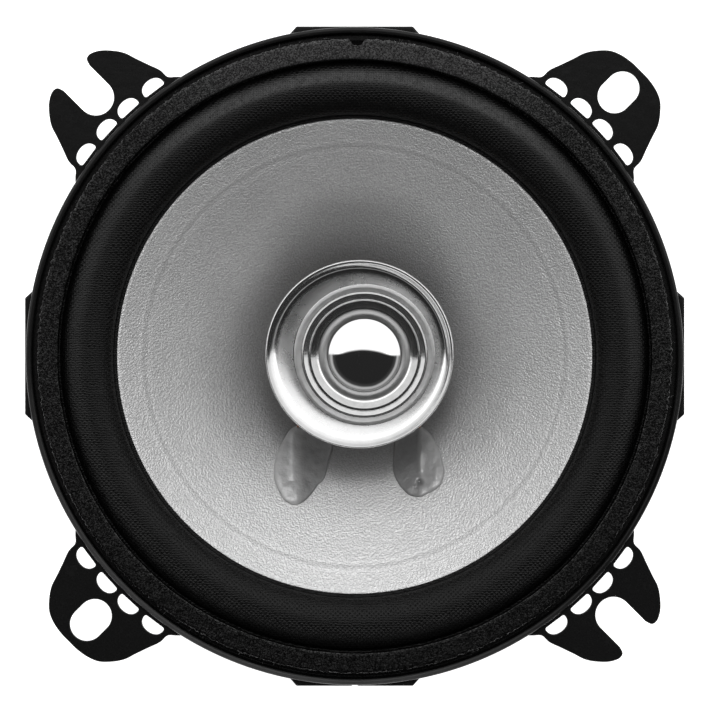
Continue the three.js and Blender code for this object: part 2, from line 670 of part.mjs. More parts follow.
// A braided lead hangs in a slack curve from the cone's back, through the basket's window, to the board.
function tinselLead(side) {
  const towards = side === 'left' ? -1 : 1;
  const x = LEAD_X[side];
  const y = -19.3;
  const top = coneHeight(Math.hypot(x, y)) - CONE_THICKNESS - 0.9;
  return wire([
    [x, y, top], [x + towards * 0.4, -20.6, top - 3.6], [towards * 11.2, -25.2, 27.9],
    [towards * 11.6, -30.6, 27.8], [towards * 10.6, -34.4, 25.6], [towards * 8.4, BOARD_Y, 23.6],
  ], 0.9, 14);
}

add('tinsel_lead_left', tinselLead('left'), copperWire);
add('tinsel_lead_right', tinselLead('right'), copperWire);

// The tweeter's two wires leave the board and the capacitor, follow the groove in the yoke's back face to
// the nut pocket, and climb inside the post to the tweeter.
const WIRE_X = 0.75;
const JACKET = 0.9;
const capacitorEndX = CAPACITOR_LENGTH / 2 + 0.3;
const [, capacitorY, capacitorZ] = capacitorCentre;

function postRun(x) {
  return [[x, -31.0, 2.6], [x, -29.2, 1.25], [x, -20, 1.2], [x, -8, 1.2], [x, -1.4, 1.35], [x, -0.1, 2.8],
    [x, 0, 8], [x, 0, 22], [x, 0, 37], [x, 0, HOUSING_FLOOR_Z + 1.0]];
}

add(
  'tweeter_lead_positive',
  wire([[-capacitorEndX, capacitorY, capacitorZ], [-7.6, capacitorY + 0.2, capacitorZ - 1.6],
    [-6.4, -32.2, 4.8], [-2.4, -31.9, 3.4], ...postRun(-WIRE_X)], JACKET, 34),
  redJacket,
);
add(
  'tweeter_lead_negative',
  wire([[TERMINAL_X, BOARD_Y, tagRivetLowZ - 0.3], [8.9, -35.0, 14.5], [8.4, -33.8, 8.2], [6.2, -32.2, 4.2],
    [2.4, -31.9, 3.4], ...postRun(WIRE_X)], JACKET, 36),
  blackJacket,
);
add(
  'capacitor_lead',
  wire([[capacitorEndX, capacitorY, capacitorZ], [6.9, capacitorY - 0.6, capacitorZ + 1.0],
    [5.6, -37.4, 15.6], [-2.0, -37.2, 17.2], [-7.6, -35.9, 18.2], [-TERMINAL_X, BOARD_Y, tagRivetLowZ - 0.3]],
  0.6, 16),
  zincSteel,
);

export default speaker;
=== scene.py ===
"""Coaxial car speaker: the finished surfaces, materials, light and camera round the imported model.

Shapes are drawn in millimetres, on the same axes as the frame, and turned into metres when a mesh is made.
"""
import math

import bmesh
import bpy
import numpy as np
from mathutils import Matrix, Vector, noise


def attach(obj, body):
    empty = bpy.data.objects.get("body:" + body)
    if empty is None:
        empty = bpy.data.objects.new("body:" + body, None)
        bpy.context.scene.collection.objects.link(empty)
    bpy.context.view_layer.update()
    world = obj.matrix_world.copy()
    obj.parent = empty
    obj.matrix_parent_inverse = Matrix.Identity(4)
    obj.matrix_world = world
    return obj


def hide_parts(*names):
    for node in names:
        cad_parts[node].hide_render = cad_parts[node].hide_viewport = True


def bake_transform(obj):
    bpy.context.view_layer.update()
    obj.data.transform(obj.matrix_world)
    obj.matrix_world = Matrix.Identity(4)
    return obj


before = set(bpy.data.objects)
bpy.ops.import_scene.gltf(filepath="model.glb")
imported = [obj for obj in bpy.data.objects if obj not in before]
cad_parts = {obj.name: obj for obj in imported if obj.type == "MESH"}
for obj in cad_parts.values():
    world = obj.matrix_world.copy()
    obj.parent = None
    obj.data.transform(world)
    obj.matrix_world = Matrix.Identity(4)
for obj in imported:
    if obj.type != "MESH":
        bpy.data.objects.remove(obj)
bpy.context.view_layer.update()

MM = 0.001
TAU = 2 * math.pi

# --- sizes shared by several pieces, in millimetres ---

FLANGE_Z = 41.0
FLANGE_TOP_Z = 42.0
FLANGE_R = 50.8
LIP_TOP_Z = 43.1
EAR_ANGLES = (45, 135, 225, 315)
BODY_R = 46.0
SEAT_Z = 17.05
LEDGE_Z = 23.6
SHEET = 1.0
BOARD_Y = -35.0
TERMINAL_X = 8.2
BOARD_TOP_Z = 22.55
TAG_Z = 20.95
TAG_THICKNESS = 0.8
WIRE_R = 0.45
HEAD = (0.75, 0.3)
CAPSULE = (1.5, 0.2)
DISH_FLOOR_Z = 48.75
DISH_LIP_Z = 50.0
DIAPHRAGM_Z = 47.95
DOME_R = 5.6
DOME_RISE = 1.5
POST_HEAD_Z = 39.4
HOUSING_Z = 39.45
CONE_NECK = (10.35, 28.2)
CONE_BEND = (20.5, 36.8)
CONE_EDGE = (36.5, 42.0)
CONE_RIM_R = 38.2
CONE_THICKNESS = 0.6
ROLL_INNER_R = 37.2
ROLL_OUTER_R = 45.4
ROLL_HEIGHT = 3.4
LAND_Z = 42.45
SURROUND_INNER_R = 36.7
SURROUND_OUTER_R = 48.8
GASKET_LOW_Z = 42.5
GASKET_HIGH_Z = 44.9
LEAD_X = {"left": -8.9, "right": 10.2}
PLATE_R = 27.0
MAGNET_R = 30.0
SPIDER_PITCH = 2.6
SPIDER_WAVE = 0.7
SPIDER_HALF_THICKNESS = 0.19
CLOTH = 0.4
FILM = 0.12


# --- outlines and curves ---

def rounded(outline, radius, segments=5, turned=True):
    """The closed outline with its corners turned into arcs. A corner may carry its own radius."""
    points = []
    for i, corner in enumerate(outline):
        here = np.array(corner[:2], float)
        reach = corner[2] if len(corner) > 2 else radius
        before = np.array(outline[i - 1][:2], float) - here
        after = np.array(outline[(i + 1) % len(outline)][:2], float) - here
        shortest = min(np.linalg.norm(before), np.linalg.norm(after))
        before /= np.linalg.norm(before)
        after /= np.linalg.norm(after)
        half = math.acos(np.clip(before @ after, -1, 1)) / 2
        if (turned and here[0] < 1e-6) or reach <= 0 or half > 1.54:
            points.append(here)
            continue
        tangent = min(reach / math.tan(half), 0.46 * shortest)
        middle = (before + after) / np.linalg.norm(before + after)
        centre = here + middle * tangent / math.cos(half)
        start = here + before * tangent - centre
        end = here + after * tangent - centre
        sweep = math.pi - 2 * half
        for k in range(segments + 1):
            share = k / segments
            points.append(centre + (start * math.sin((1 - share) * sweep) + end * math.sin(share * sweep))
                          / math.sin(sweep))
    return np.array(points)


def finer(outline, length):
    """The closed outline with no straight stretch longer than length."""
    points = []
    for i, here in enumerate(outline):
        after = outline[(i + 1) % len(outline)]
        pieces = max(1, math.ceil(np.linalg.norm(after - here) / length))
        points += [here + (after - here) * k / pieces for k in range(pieces)]
    return np.array(points)


def smooth_curve(points, count, closed=False):
    """Evenly spaced points on a centripetal Catmull-Rom curve through the given ones."""
    knots = np.array(points, float)
    if closed:
        knots = np.concatenate([knots[-1:], knots, knots[:2]])
    else:
        knots = np.concatenate([[2 * knots[0] - knots[1]], knots, [2 * knots[-1] - knots[-2]]])
    dense = []
    fine = 24
    for p0, p1, p2, p3 in zip(knots, knots[1:], knots[2:], knots[3:]):
        d0, d1, d2 = (max(np.linalg.norm(b - a), 1e-6) ** 0.5 for a, b in ((p0, p1), (p1, p2), (p2, p3)))
        start = ((p1 - p0) / d0 - (p2 - p0) / (d0 + d1) + (p2 - p1) / d1) * d1
        end = ((p2 - p1) / d1 - (p3 - p1) / (d1 + d2) + (p3 - p2) / d2) * d1
        t = (np.arange(fine) / fine)[:, None]
        dense.append((2 * t**3 - 3 * t**2 + 1) * p1 + (t**3 - 2 * t**2 + t) * start
                     + (3 * t**2 - 2 * t**3) * p2 + (t**3 - t**2) * end)
    dense = np.concatenate(dense + [knots[-2][None]])
    run = np.concatenate([[0], np.cumsum(np.linalg.norm(np.diff(dense, axis=0), axis=1))])
    wanted = np.linspace(0, run[-1], count + 1 if closed else count)
    even = np.stack([np.interp(wanted, run, dense[:, axis]) for axis in range(dense.shape[1])], -1)
    return even[:-1] if closed else even


def circle(radius, count, centre=(0, 0), start=0.0, sweep=TAU):
    """Points round a circle; a part of a turn includes both of its ends."""
    whole = abs(sweep - TAU) < 1e-9
    angles = start + sweep * np.arange(count) / (count if whole else count - 1)
    return np.stack([centre[0] + radius * np.cos(angles), centre[1] + radius * np.sin(angles)], -1)


def roll(middle, half_width, height, base, count):
    """Half of an ellipse above base, from left to right."""
    angle = np.linspace(math.pi, 0, count)
    return np.stack([middle + half_width * np.cos(angle), base + height * np.sin(angle)], -1)


def turned_about(points, degrees):
    angle = math.radians(degrees)
    turn = np.array([[math.cos(angle), math.sin(angle)], [-math.sin(angle), math.cos(angle)]])
    return np.asarray(points, float) @ turn


def smoothstep(value, low, high):
    share = np.clip((value - low) / (high - low), 0, 1)
    return share * share * (3 - 2 * share)


def cone_height(radius):
    """Height of the cone's front surface at a radius."""
    (r0, z0), (r1, z1), (r2, z2) = CONE_NECK, CONE_BEND, CONE_EDGE
    a, b, c = r0 - 2 * r1 + r2, 2 * (r1 - r0), r0 - np.minimum(radius, r2)
    t = (-b + np.sqrt(b * b - 4 * a * c)) / (2 * a)
    return (1 - t)**2 * z0 + 2 * t * (1 - t) * z1 + t * t * z2


def away(points, centre=(0, 0)):
    """Each point's distance from the upright line at centre."""
    return np.hypot(points[:, 0] - centre[0], points[:, 1] - centre[1])


def rough(points, scale, seed=0.0):
    """Smooth noise between -1 and 1 at each point, whose features are about 1 / scale apart."""
    shift = Vector((seed, 2.3 * seed, -1.7 * seed))
    return np.array([noise.noise(Vector(point) * scale + shift) for point in points])


# --- meshes ---

def mesh_of(vertices, faces):
    """A mesh in metres, with its seams welded and its faces turned outwards."""
    mesh = bpy.data.meshes.new("surface")
    faces = faces.tolist() if isinstance(faces, np.ndarray) else faces
    mesh.from_pydata((np.asarray(vertices, float) * MM).tolist(), [], faces)
    work = bmesh.new()
    work.from_mesh(mesh)
    bmesh.ops.remove_doubles(work, verts=work.verts, dist=1e-8)
    bare = [edge for edge in work.edges if not edge.link_faces]
    bmesh.ops.delete(work, geom=bare, context="EDGES")
    bmesh.ops.recalc_face_normals(work, faces=work.faces)
    work.to_mesh(mesh)
    work.free()
    return mesh


def grid_faces(rows, columns, wrap_rows):
    """Quads of a grid that closes on itself along its columns, and along its rows if asked."""
    i, j = np.meshgrid(np.arange(rows if wrap_rows else rows - 1), np.arange(columns), indexing="ij")
    following, beside = (i + 1) % rows, (j + 1) % columns
    quads = [i * columns + j, i * columns + beside, following * columns + beside, following * columns + j]
    return np.stack(quads, -1).reshape(-1, 4)


def lathe(outline, steps, centre=(0, 0)):
    """Vertices and faces of a closed (radius, height) outline turned about the upright line at centre."""
    radius, height = np.asarray(outline, float).T
    angle = np.arange(steps) * TAU / steps
    x = centre[0] + np.outer(radius, np.cos(angle))
    y = centre[1] + np.outer(radius, np.sin(angle))
    z = np.repeat(height[:, None], steps, axis=1)
    return np.stack([x, y, z], -1).reshape(-1, 3), grid_faces(len(radius), steps, True)


def carried(path):
    """Two directions across a path at each of its points, carried along it without twisting."""
    along = np.gradient(path, axis=0)
    along /= np.linalg.norm(along, axis=1)[:, None]
    side = np.cross(along[0], (0.31, 0.17, 0.93))
    sides, ups = [], []
    for direction in along:
        side = side - direction * (side @ direction)
        side = side / np.linalg.norm(side)
        sides.append(side)
        ups.append(np.cross(direction, side))
    return np.array(sides), np.array(ups)


def swept(path, section):
    """A closed tube: the section, drawn across the path, carried along it."""
    path = np.asarray(path, float)
    rings = [[point + u * side + v * up for u, v in section]
             for point, side, up in zip(path, *carried(path))]
    count = len(section)
    faces = grid_faces(len(path), count, False).tolist()
    faces.append(list(range(count)))
    faces.append([(len(path) - 1) * count + k for k in range(count)])
    return np.array(rings).reshape(-1, 3), faces


def merged(parts):
    vertices, faces, base = [], [], 0
    for points, polygons in parts:
        vertices.append(points)
        faces += [[base + k for k in polygon] for polygon in np.asarray(polygons, dtype=object).tolist()]
        base += len(points)
    return np.concatenate(vertices), faces


def plate(outlines, low, high, bevel):
    """A flat plate with softened edges: the first outline is its edge and the others are holes."""
    curve = bpy.data.curves.new("plate", "CURVE")
    curve.dimensions = "2D"
    curve.fill_mode = "BOTH"
    curve.bevel_depth = bevel * MM
    curve.bevel_resolution = 2
    curve.offset = -bevel * MM
    curve.extrude = ((high - low) / 2 - bevel) * MM
    for outline in outlines:
        spline = curve.splines.new("POLY")
        spline.points.add(len(outline) - 1)
        spline.use_cyclic_u = True
        for point, (x, y) in zip(spline.points, outline):
            point.co = (x * MM, y * MM, 0, 1)
    holder = linked("plate", curve)
    mesh = baked(holder)
    remove(holder)
    work = bmesh.new()
    work.from_mesh(mesh)
    bmesh.ops.translate(work, vec=(0, 0, (low + high) / 2 * MM), verts=work.verts)
    bmesh.ops.remove_doubles(work, verts=work.verts, dist=2e-7)
    bmesh.ops.recalc_face_normals(work, faces=work.faces)
    work.to_mesh(mesh)
    work.free()
    return mesh


def linked(name, data):
    piece = bpy.data.objects.new(name, data)
    bpy.context.scene.collection.objects.link(piece)
    return piece


def remove(piece):
    bpy.data.objects.remove(piece, do_unlink=True)


def baked(piece):
    """The piece's mesh with its modifiers applied."""
    bpy.context.view_layer.update()
    found = piece.evaluated_get(bpy.context.evaluated_depsgraph_get())
    return bpy.data.meshes.new_from_object(found)


def carved(mesh, *steps):
    """The mesh after each (operation, other mesh) step of joining or cutting."""
    target = linked("target", mesh)
    for operation, other in steps:
        tool = linked("tool", other)
        modifier = target.modifiers.new("carve", "BOOLEAN")
        modifier.operation = operation
        modifier.object = tool
        modifier.solver = "MANIFOLD"
        result = baked(target)
        target.modifiers.clear()
        target.data = result
        remove(tool)
    result = target.data
    remove(target)
    return result


def flat_shaded_planes(piece, beyond=None):
    """Keeps broad faces flat beside their rounded edges, with a crease round level ones past a radius."""
    if beyond:
        work = bmesh.new()
        work.from_mesh(piece.data)
        for edge in work.edges:
            level = [abs(face.normal.z) > 0.9999 for face in edge.link_faces]
            if any(level) and not all(level) and min(v.co.xy.length for v in edge.verts) > beyond * MM:
                edge.smooth = False
        work.to_mesh(piece.data)
        work.free()
    modifier = piece.modifiers.new("normals", "WEIGHTED_NORMAL")
    modifier.keep_sharp = True
    modifier.weight = 80
    return piece


def finished(name, mesh, material, nodes=(), body="frame", sharp=38):
    """A piece of the speaker on a body, in place of its CAD nodes."""
    mesh.shade_smooth()
    mesh.set_sharp_from_angle(angle=math.radians(sharp))
    mesh.materials.clear()
    mesh.materials.append(material)
    piece = linked(name, mesh)
    if body:
        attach(piece, body)
    if nodes:
        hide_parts(*nodes)
    return piece


def lathed(name, outline, steps, material, node, centre=(0, 0), body="frame", sharp=38):
    """A piece turned about the upright line at centre, in place of one CAD node."""
    mesh = mesh_of(*lathe(outline, steps, centre))
    return finished(name, mesh, material, [node], body, sharp)


def bending(piece, follows):
    """Bakes the piece's transform and works out each point's share of a moving body's motion from follows;
    the shares are not stored.
    """
    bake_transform(piece)
    weights = follows(points_of(piece.data)).astype(np.float32)
    return piece


def points_of(mesh):
    """A mesh's points in millimetres."""
    flat = np.zeros(len(mesh.vertices) * 3, np.float32)
    mesh.vertices.foreach_get("co", flat)
    return flat.reshape(-1, 3).astype(float) / MM


# --- material nodes ---

class Field:
    """A value that varies over a surface. Sums, differences and products of fields are nodes as well."""

    def __init__(self, nodes, socket):
        self.nodes = nodes
        self.socket = socket

    def __add__(self, other):
        return self.nodes.math("ADD", self, other)

    def __sub__(self, other):
        return self.nodes.math("SUBTRACT", self, other)

    def __rsub__(self, other):
        return self.nodes.math("SUBTRACT", other, self)

    def __mul__(self, other):
        return self.nodes.math("MULTIPLY", self, other)

    __radd__ = __add__
    __rmul__ = __mul__

    def sine(self):
        return self.nodes.math("SINE", self)

    def ramp(self, low, high, to_low=0.0, to_high=1.0, kind="LINEAR"):
        """The field with low to high stretched over to_low to to_high, and cut off outside."""
        values = (self, low, high, to_low, to_high)
        return self.nodes.field("ShaderNodeMapRange", values, interpolation_type=kind)

    def smooth(self, low, high, to_low=0.0, to_high=1.0):
        return self.ramp(low, high, to_low, to_high, "SMOOTHSTEP")


class Nodes:
    """A node tree under construction, with its coordinates as fields."""

    def __init__(self, tree, coordinates, scale):
        self.tree = tree
        place = Field(self, self.add("ShaderNodeTexCoord").outputs[coordinates])
        self.place = self.field("ShaderNodeVectorMath", {0: place, "Scale": scale}, operation="SCALE")
        split = self.add("ShaderNodeSeparateXYZ", [self.place])
        self.x, self.y, self.z = (Field(self, socket) for socket in split.outputs)

    def add(self, kind, inputs=(), **settings):
        """A node with these settings. Its inputs are values or fields, by place or by name."""
        node = self.tree.nodes.new(kind)
        for key, value in settings.items():
            setattr(node, key, value)
        for key, value in inputs.items() if isinstance(inputs, dict) else enumerate(inputs):
            self.put(node.inputs[key], value)
        return node

    def put(self, socket, value):
        if isinstance(value, Field):
            self.tree.links.new(value.socket, socket)
        else:
            socket.default_value = value

    def field(self, kind, inputs, output=0, **settings):
        return Field(self, self.add(kind, inputs, **settings).outputs[output])

    def math(self, operation, *values):
        return self.field("ShaderNodeMath", values, operation=operation)

    def mix(self, share, first, second):
        return self.field("ShaderNodeMix", {0: share, 6: first, 7: second}, 2, data_type="RGBA")

    def noise(self, scale, detail=2.0, roughness=0.5, stretch=None):
        place = self.place
        if stretch:
            place = self.field("ShaderNodeVectorMath", (place, stretch), operation="MULTIPLY")
        inputs = {"Vector": place, "Scale": scale, "Detail": detail, "Roughness": roughness}
        return self.field("ShaderNodeTexNoise", inputs)

    def cells(self, scale):
        return self.field("ShaderNodeTexVoronoi", {"Vector": self.place, "Scale": scale}, "Distance")

    def radius(self, centre=(0, 0)):
        """Distance from the upright line at centre."""
        across, up = self.x - centre[0], self.y - centre[1]
        return self.math("SQRT", across * across + up * up)

    def turn(self):
        """Bearing from +X, in radians."""
        return self.math("ARCTAN2", self.y, self.x)

    def weave(self, pitch, proud=1.0):
        """Height of a plain weave from 0 to 1: its threads along X, and a share as proud along Y."""
        drift = self.noise(0.8, 3).ramp(0, 1, -0.25, 0.25)
        waves = [(along + drift) * (math.pi / pitch) for along in (self.x, self.y)]
        across, up = (self.math("ABSOLUTE", wave.sine()) for wave in waves)
        over = (waves[0] + math.pi / 2).sine() * (waves[1] + math.pi / 2).sine()
        share = over.smooth(-0.35, 0.35)
        return across * (share * proud) + up * (1.0 - share)


class Surface(Nodes):
    """A material under construction, in millimetres."""

    def __init__(self, name, **sockets):
        self.material = bpy.data.materials.new(name)
        self.material.use_nodes = True
        super().__init__(self.material.node_tree, "Object", 1 / MM)
        self.shader = self.tree.nodes["Principled BSDF"]
        for socket, value in sockets.items():
            self.feed(socket.replace("_", " "), value)

    def feed(self, socket, value):
        self.put(self.shader.inputs[socket], value)

    def colour(self, share, first, second):
        self.feed("Base Color", self.mix(share, grey(first), grey(second)))

    def gloss(self, share, low, high):
        self.feed("Roughness", share.ramp(0, 1, low, high))

    def relief(self, *layers):
        """Bumps of (height from 0 to 1, depth in millimetres), each laid on the one before."""
        below = {}
        for height, depth in layers:
            inputs = {"Distance": depth * MM, "Strength": 1.0, "Height": height, **below}
            below = {"Normal": self.field("ShaderNodeBump", inputs)}
        self.feed("Normal", below["Normal"])


def grey(value):
    """A colour from one number or three."""
    if isinstance(value, (int, float)):
        return (value, value, value, 1)
    return (*value, 1)


def clouded(name, pattern, colours, gloss, bumps, **sockets):
    """A material whose colour and gloss follow one noise. A bump follows it too, or a noise of its own."""
    s = Surface(name, **sockets)
    cloud = s.noise(*pattern)
    s.colour(cloud, *colours)
    s.gloss(cloud, *gloss)
    s.relief(*[(s.noise(*own) if own else cloud, depth) for own, depth in bumps])
    return s.material


# --- materials ---

def black_steel():
    """Black paint on pressed steel: fine orange peel, dust, faint rubs, and a painted highlight along the
    lip on its lower left side.
    """
    s = Surface("black_painted_steel", Specular_IOR_Level=0.2)
    cloud = s.noise(0.09, 4)
    grain = s.noise(2.8, 4, 0.6)
    rubs = s.noise(0.35, 7, 0.65).smooth(0.56, 0.7)
    # Painted highlight: the top of the lip is lighter on its lower left side, mottled by the cloud.
    lip = s.radius().ramp(FLANGE_R - 0.95, FLANGE_R - 0.8) * s.z.ramp(LIP_TOP_Z - 0.5, LIP_TOP_Z - 0.2)
    side = s.math("COSINE", s.turn() + math.radians(112))
    painted_lip_highlight = lip * side.smooth(0.3, 1.0, 0.08, 1.0) * cloud.ramp(0.3, 0.7, 0.7, 1.0)
    s.colour(0.06 * grain + 0.04 * rubs + painted_lip_highlight, 0.004, 0.046)
    s.gloss(0.6 * cloud + 0.4 * rubs, 0.2, 0.3)
    s.relief((grain, 0.006), (s.noise(0.6, 2), 0.02))
    return s.material


def felt():
    """Dark grey needled felt, with lighter fibres through it and a painted sheen on its top side, towards
    the notch.
    """
    s = Surface("needled_felt", Roughness=0.27, Specular_IOR_Level=0.55)
    fibres = s.noise(4.4, 3, 0.6).smooth(0.4, 0.62)
    specks = s.noise(5.6, 2, 0.6).smooth(0.58, 0.68)
    tone = 0.6 * fibres + 0.4 * specks
    # Painted sheen: the top side of the ring is lighter, with more contrast in its fibres.
    painted_top_sheen = s.turn().sine().smooth(0.7, 1.0, 0.0, 0.9) * tone.ramp(0, 1, 0.3, 1.25)
    s.colour(0.1 * tone + painted_top_sheen, 0.0005, 0.032)
    s.feed("Specular IOR Level", tone.ramp(0.15, 0.85, 0.12, 1.0))
    s.relief((s.noise(3.6, 3, 0.6), 0.045), (s.noise(7.0, 2), 0.006))
    return s.material


def surround_cloth():
    """Black doped cloth: a straight weave, a dull resin shine, a dark glued rim and a painted highlight in
    a band along the roll's top side.
    """
    s = Surface("woven_black_cloth", Specular_IOR_Level=0.3)
    threads = s.weave(0.37, 0.45)
    uneven = s.noise(1.3, 3, 0.6)
    tone = threads * uneven.ramp(0.25, 0.75, 0.4, 1.0)
    out = s.radius()
    # Painted highlight: a band on the roll's outer slope, on its top side, is lighter, grained by the
    # threads.
    painted_crest_highlight = out.smooth(43.3, 44.4, 1.0, 0.0) * out.smooth(41.8, 42.6) * uneven.ramp(0.35, 0.65, 0.3, 1.0)
    painted_crest_highlight = painted_crest_highlight * s.turn().sine().smooth(0.45, 1.0) * threads.ramp(0, 1, 0.3, 1.5)
    s.colour(0.12 * tone + painted_crest_highlight, 0.0005, 0.038)
    s.feed("Specular IOR Level", out.ramp(41.4, 42.6, 0.22, 0.34) * out.ramp(46.4, 46.9, 1.0, 0.05))
    s.gloss(uneven, 0.28, 0.4)
    s.relief((threads, 0.06), (s.noise(1.9, 3, 0.6), 0.05))
    return s.material


def cone_paint():
    """Silver paint over a pebbled pulp cone, with painted shade darkening it towards the neck under the
    tweeter, and a little darker towards the rim.
    """
    s = Surface("pebbled_silver_paint", Metallic=0.45, Specular_IOR_Level=0.5)
    pebbles = s.noise(3.5, 2).smooth(0.3, 0.7)
    wide = s.noise(0.12, 3)
    dust = s.noise(4.0, 2, 0.6).smooth(0.3, 0.7)
    tone = 0.4 * pebbles + 0.2 * wide + 0.4 * dust
    # Painted shade: the colour darkens towards the neck under the tweeter, and a little towards the rim.
    painted_radial_shade = s.radius().smooth(14.0, 22.0, 0.5, 1.0) * s.radius().smooth(24.0, 33.0, 1.0, 0.84)
    s.colour(painted_radial_shade * tone.ramp(0.15, 0.85, 0.7, 0.98), 0.0, 0.44)
    s.gloss(wide, 0.44, 0.5)
    s.relief((pebbles, 0.034), (s.noise(7.5, 2), 0.004))
    return s.material


def bare_pulp():
    """The unpainted back of the cone: dark grey pressed pulp with long fibres."""
    s = Surface("bare_cone_pulp", Roughness=0.85, Specular_IOR_Level=0.25)
    fibres = s.noise(2.2, 5, 0.7).smooth(0.35, 0.7)
    s.colour(0.6 * fibres + 0.4 * s.noise(0.2, 3), 0.02, 0.075)
    s.relief((fibres, 0.05), (s.noise(6.0, 2), 0.01))
    return s.material


def glue_resin():
    """Grey rubber-based glue with a wet gloss; its colour carries painted light and shade, lighter on the
    raised outer side and ridges, darker in the tweeter's shadow and in the dent.
    """
    s = Surface("dried_grey_glue", Roughness=0.45, Specular_IOR_Level=0.5, Coat_Weight=0.15,
                Coat_Roughness=0.3)
    # The tone attribute holds painted light and shade, not the glue's depth.
    depth = s.field("ShaderNodeAttribute", (), "Fac", attribute_name="tone")
    s.colour(0.75 * depth + 0.25 * s.noise(0.9, 3), 0.05, 0.36)
    s.relief((s.noise(1.4, 2), 0.08), (s.noise(0.5, 1), 0.15), (s.noise(3.0, 2), 0.03))
    return s.material


def zinc(name, light=0.42, dark=0.28):
    """Zinc plate over machined or pressed steel: turning marks, clouds and small stains."""
    s = Surface(name, Metallic=1.0)
    cloud = s.noise(0.25, 4, 0.6)
    marks = (s.radius() * 22.0).sine().ramp(-1, 1)
    stains = s.noise(1.3, 5, 0.65).smooth(0.58, 0.7)
    s.colour(cloud - 0.3 * stains, *[(tone, 0.99 * tone, 0.95 * tone) for tone in (dark, light)])
    s.gloss(0.7 * cloud + 0.3 * marks, 0.25, 0.5)
    s.relief((marks, 0.006), (s.noise(3.0, 3), 0.01))
    return s.material


def ferrite():
    """Pressed and ground ferrite: dark grey, dull, with pits and chalky scuffs."""
    s = Surface("ground_ferrite", Specular_IOR_Level=0.4)
    pits = s.cells(1.6).smooth(0.0, 0.22)
    chalk = s.noise(0.5, 6, 0.7).smooth(0.5, 0.75)
    s.colour(chalk * pits, (0.022, 0.022, 0.025), (0.085, 0.085, 0.09))
    s.gloss(chalk, 0.5, 0.85)
    s.relief((pits, 0.05), (s.noise(4.0, 4), 0.03))
    return s.material


def spider_cloth():
    """Amber phenolic-soaked cloth."""
    s = Surface("resin_cloth", Roughness=0.7, Specular_IOR_Level=0.4, Sheen_Weight=0.2)
    threads = s.weave(0.55)
    s.colour(threads * s.noise(0.3, 3).ramp(0.2, 0.8, 0.6, 1.0), (0.09, 0.045, 0.014), (0.36, 0.2, 0.07))
    s.relief((threads, 0.12))
    return s.material


def moulded_plastic():
    s = Surface("moulded_black_plastic", Specular_IOR_Level=0.45)
    cloud = s.noise(0.4, 3)
    s.colour(cloud, 0.012, 0.024)
    s.gloss(cloud, 0.36, 0.55)
    s.relief((s.noise(5.0, 2), 0.012), (s.cells(6.0), 0.006))
    return s.material


def dish_metal():
    """Silver plating: satin on the flat floor, polished up the wall and over the lip."""
    s = Surface("silver_plated_dish", Metallic=1.0)
    out = s.radius(HEAD)
    polished = out.smooth(12.2, 12.9)
    rings = (out * 46.0).sine().ramp(-1, 1)
    cloud = s.noise(0.5, 4)
    specks = s.noise(5.0, 3, 0.7).smooth(0.64, 0.75)
    s.colour(cloud - 0.3 * specks, 0.7, 0.86)
    satin, mirror = cloud.ramp(0, 1, 0.24, 0.31), cloud.ramp(0, 1, 0.1, 0.16)
    s.feed("Roughness", satin * (1.0 - polished) + mirror * polished)
    s.relief((rings, 0.0008), (s.noise(1.1, 2), 0.006))
    return s.material


def ring_metal():
    """Turned and plated ring, with fine lathe lines, satin on its outer step."""
    s = Surface("silver_plated_ring", Metallic=1.0)
    out = s.radius(CAPSULE)
    rings = (out * 60.0).sine().ramp(-1, 1)
    cloud = s.noise(0.8, 4)
    s.colour(cloud, 0.58, 0.8)
    satin = out.smooth(9.5, 9.8)
    dull, bright = cloud.ramp(0, 1, 0.32, 0.4), cloud.ramp(0, 1, 0.12, 0.18)
    s.feed("Roughness", satin * dull + (1.0 - satin) * bright)
    s.relief((rings, 0.0012), (s.noise(1.6, 2), 0.01))
    return s.material


def mirror_film():
    """Metallised film: a mirror with the slightest ripple and a few dust specks."""
    s = Surface("metallised_film", Metallic=1.0)
    dust = s.noise(7.0, 2, 0.7).smooth(0.7, 0.76)
    s.colour(dust, 0.86, 0.6)
    s.gloss(dust, 0.045, 0.3)
    s.relief((s.noise(0.35, 1), 0.02))
    return s.material


def satin_film():
    """The same film where it is formed into the half-roll: clouded by the stretch."""
    return clouded("stretched_film", (1.1, 4, 0.6), (0.34, 0.5), (0.42, 0.55),
                   [(None, 0.01), ((6.0, 2), 0.003)], Metallic=1.0)


def coil_film():
    """Amber polyimide film with a faint grain round the former."""
    return clouded("polyimide_film", (2.0, 3, 0.6, (1, 1, 6)), ((0.22, 0.08, 0.012), (0.42, 0.18, 0.035)),
                   (0.25, 0.42), [(None, 0.01)], Specular_IOR_Level=0.6, Coat_Weight=0.3)


def enamelled_copper():
    return clouded("enamelled_copper", (1.2, 3), ((0.42, 0.14, 0.05), (0.74, 0.32, 0.14)), (0.22, 0.4),
                   [((9.0, 2), 0.006)], Metallic=1.0, Coat_Weight=0.6, Coat_Roughness=0.15)


def tinned_braid():
    return clouded("tinned_copper_braid", (3.0, 4), ((0.34, 0.25, 0.18), (0.66, 0.56, 0.46)), (0.3, 0.5),
                   [((14.0, 2, 0.5, (1, 1, 0.3)), 0.03)], Metallic=1.0)


def phenolic():
    """Brown paper-based board, in thin layers."""
    colours = (0.055, 0.02, 0.008), (0.17, 0.075, 0.03)
    return clouded("phenolic_board", (1.6, 5, 0.6, (0.4, 1, 5)), colours, (0.42, 0.62), [((4.0, 3), 0.02)],
                   Specular_IOR_Level=0.45)


def tinned_brass():
    return clouded("tinned_brass", (1.0, 5, 0.65, (2.2, 0.6, 1)), ((0.55, 0.47, 0.3), (0.78, 0.74, 0.62)),
                   (0.2, 0.42), [(None, 0.012)], Metallic=1.0)


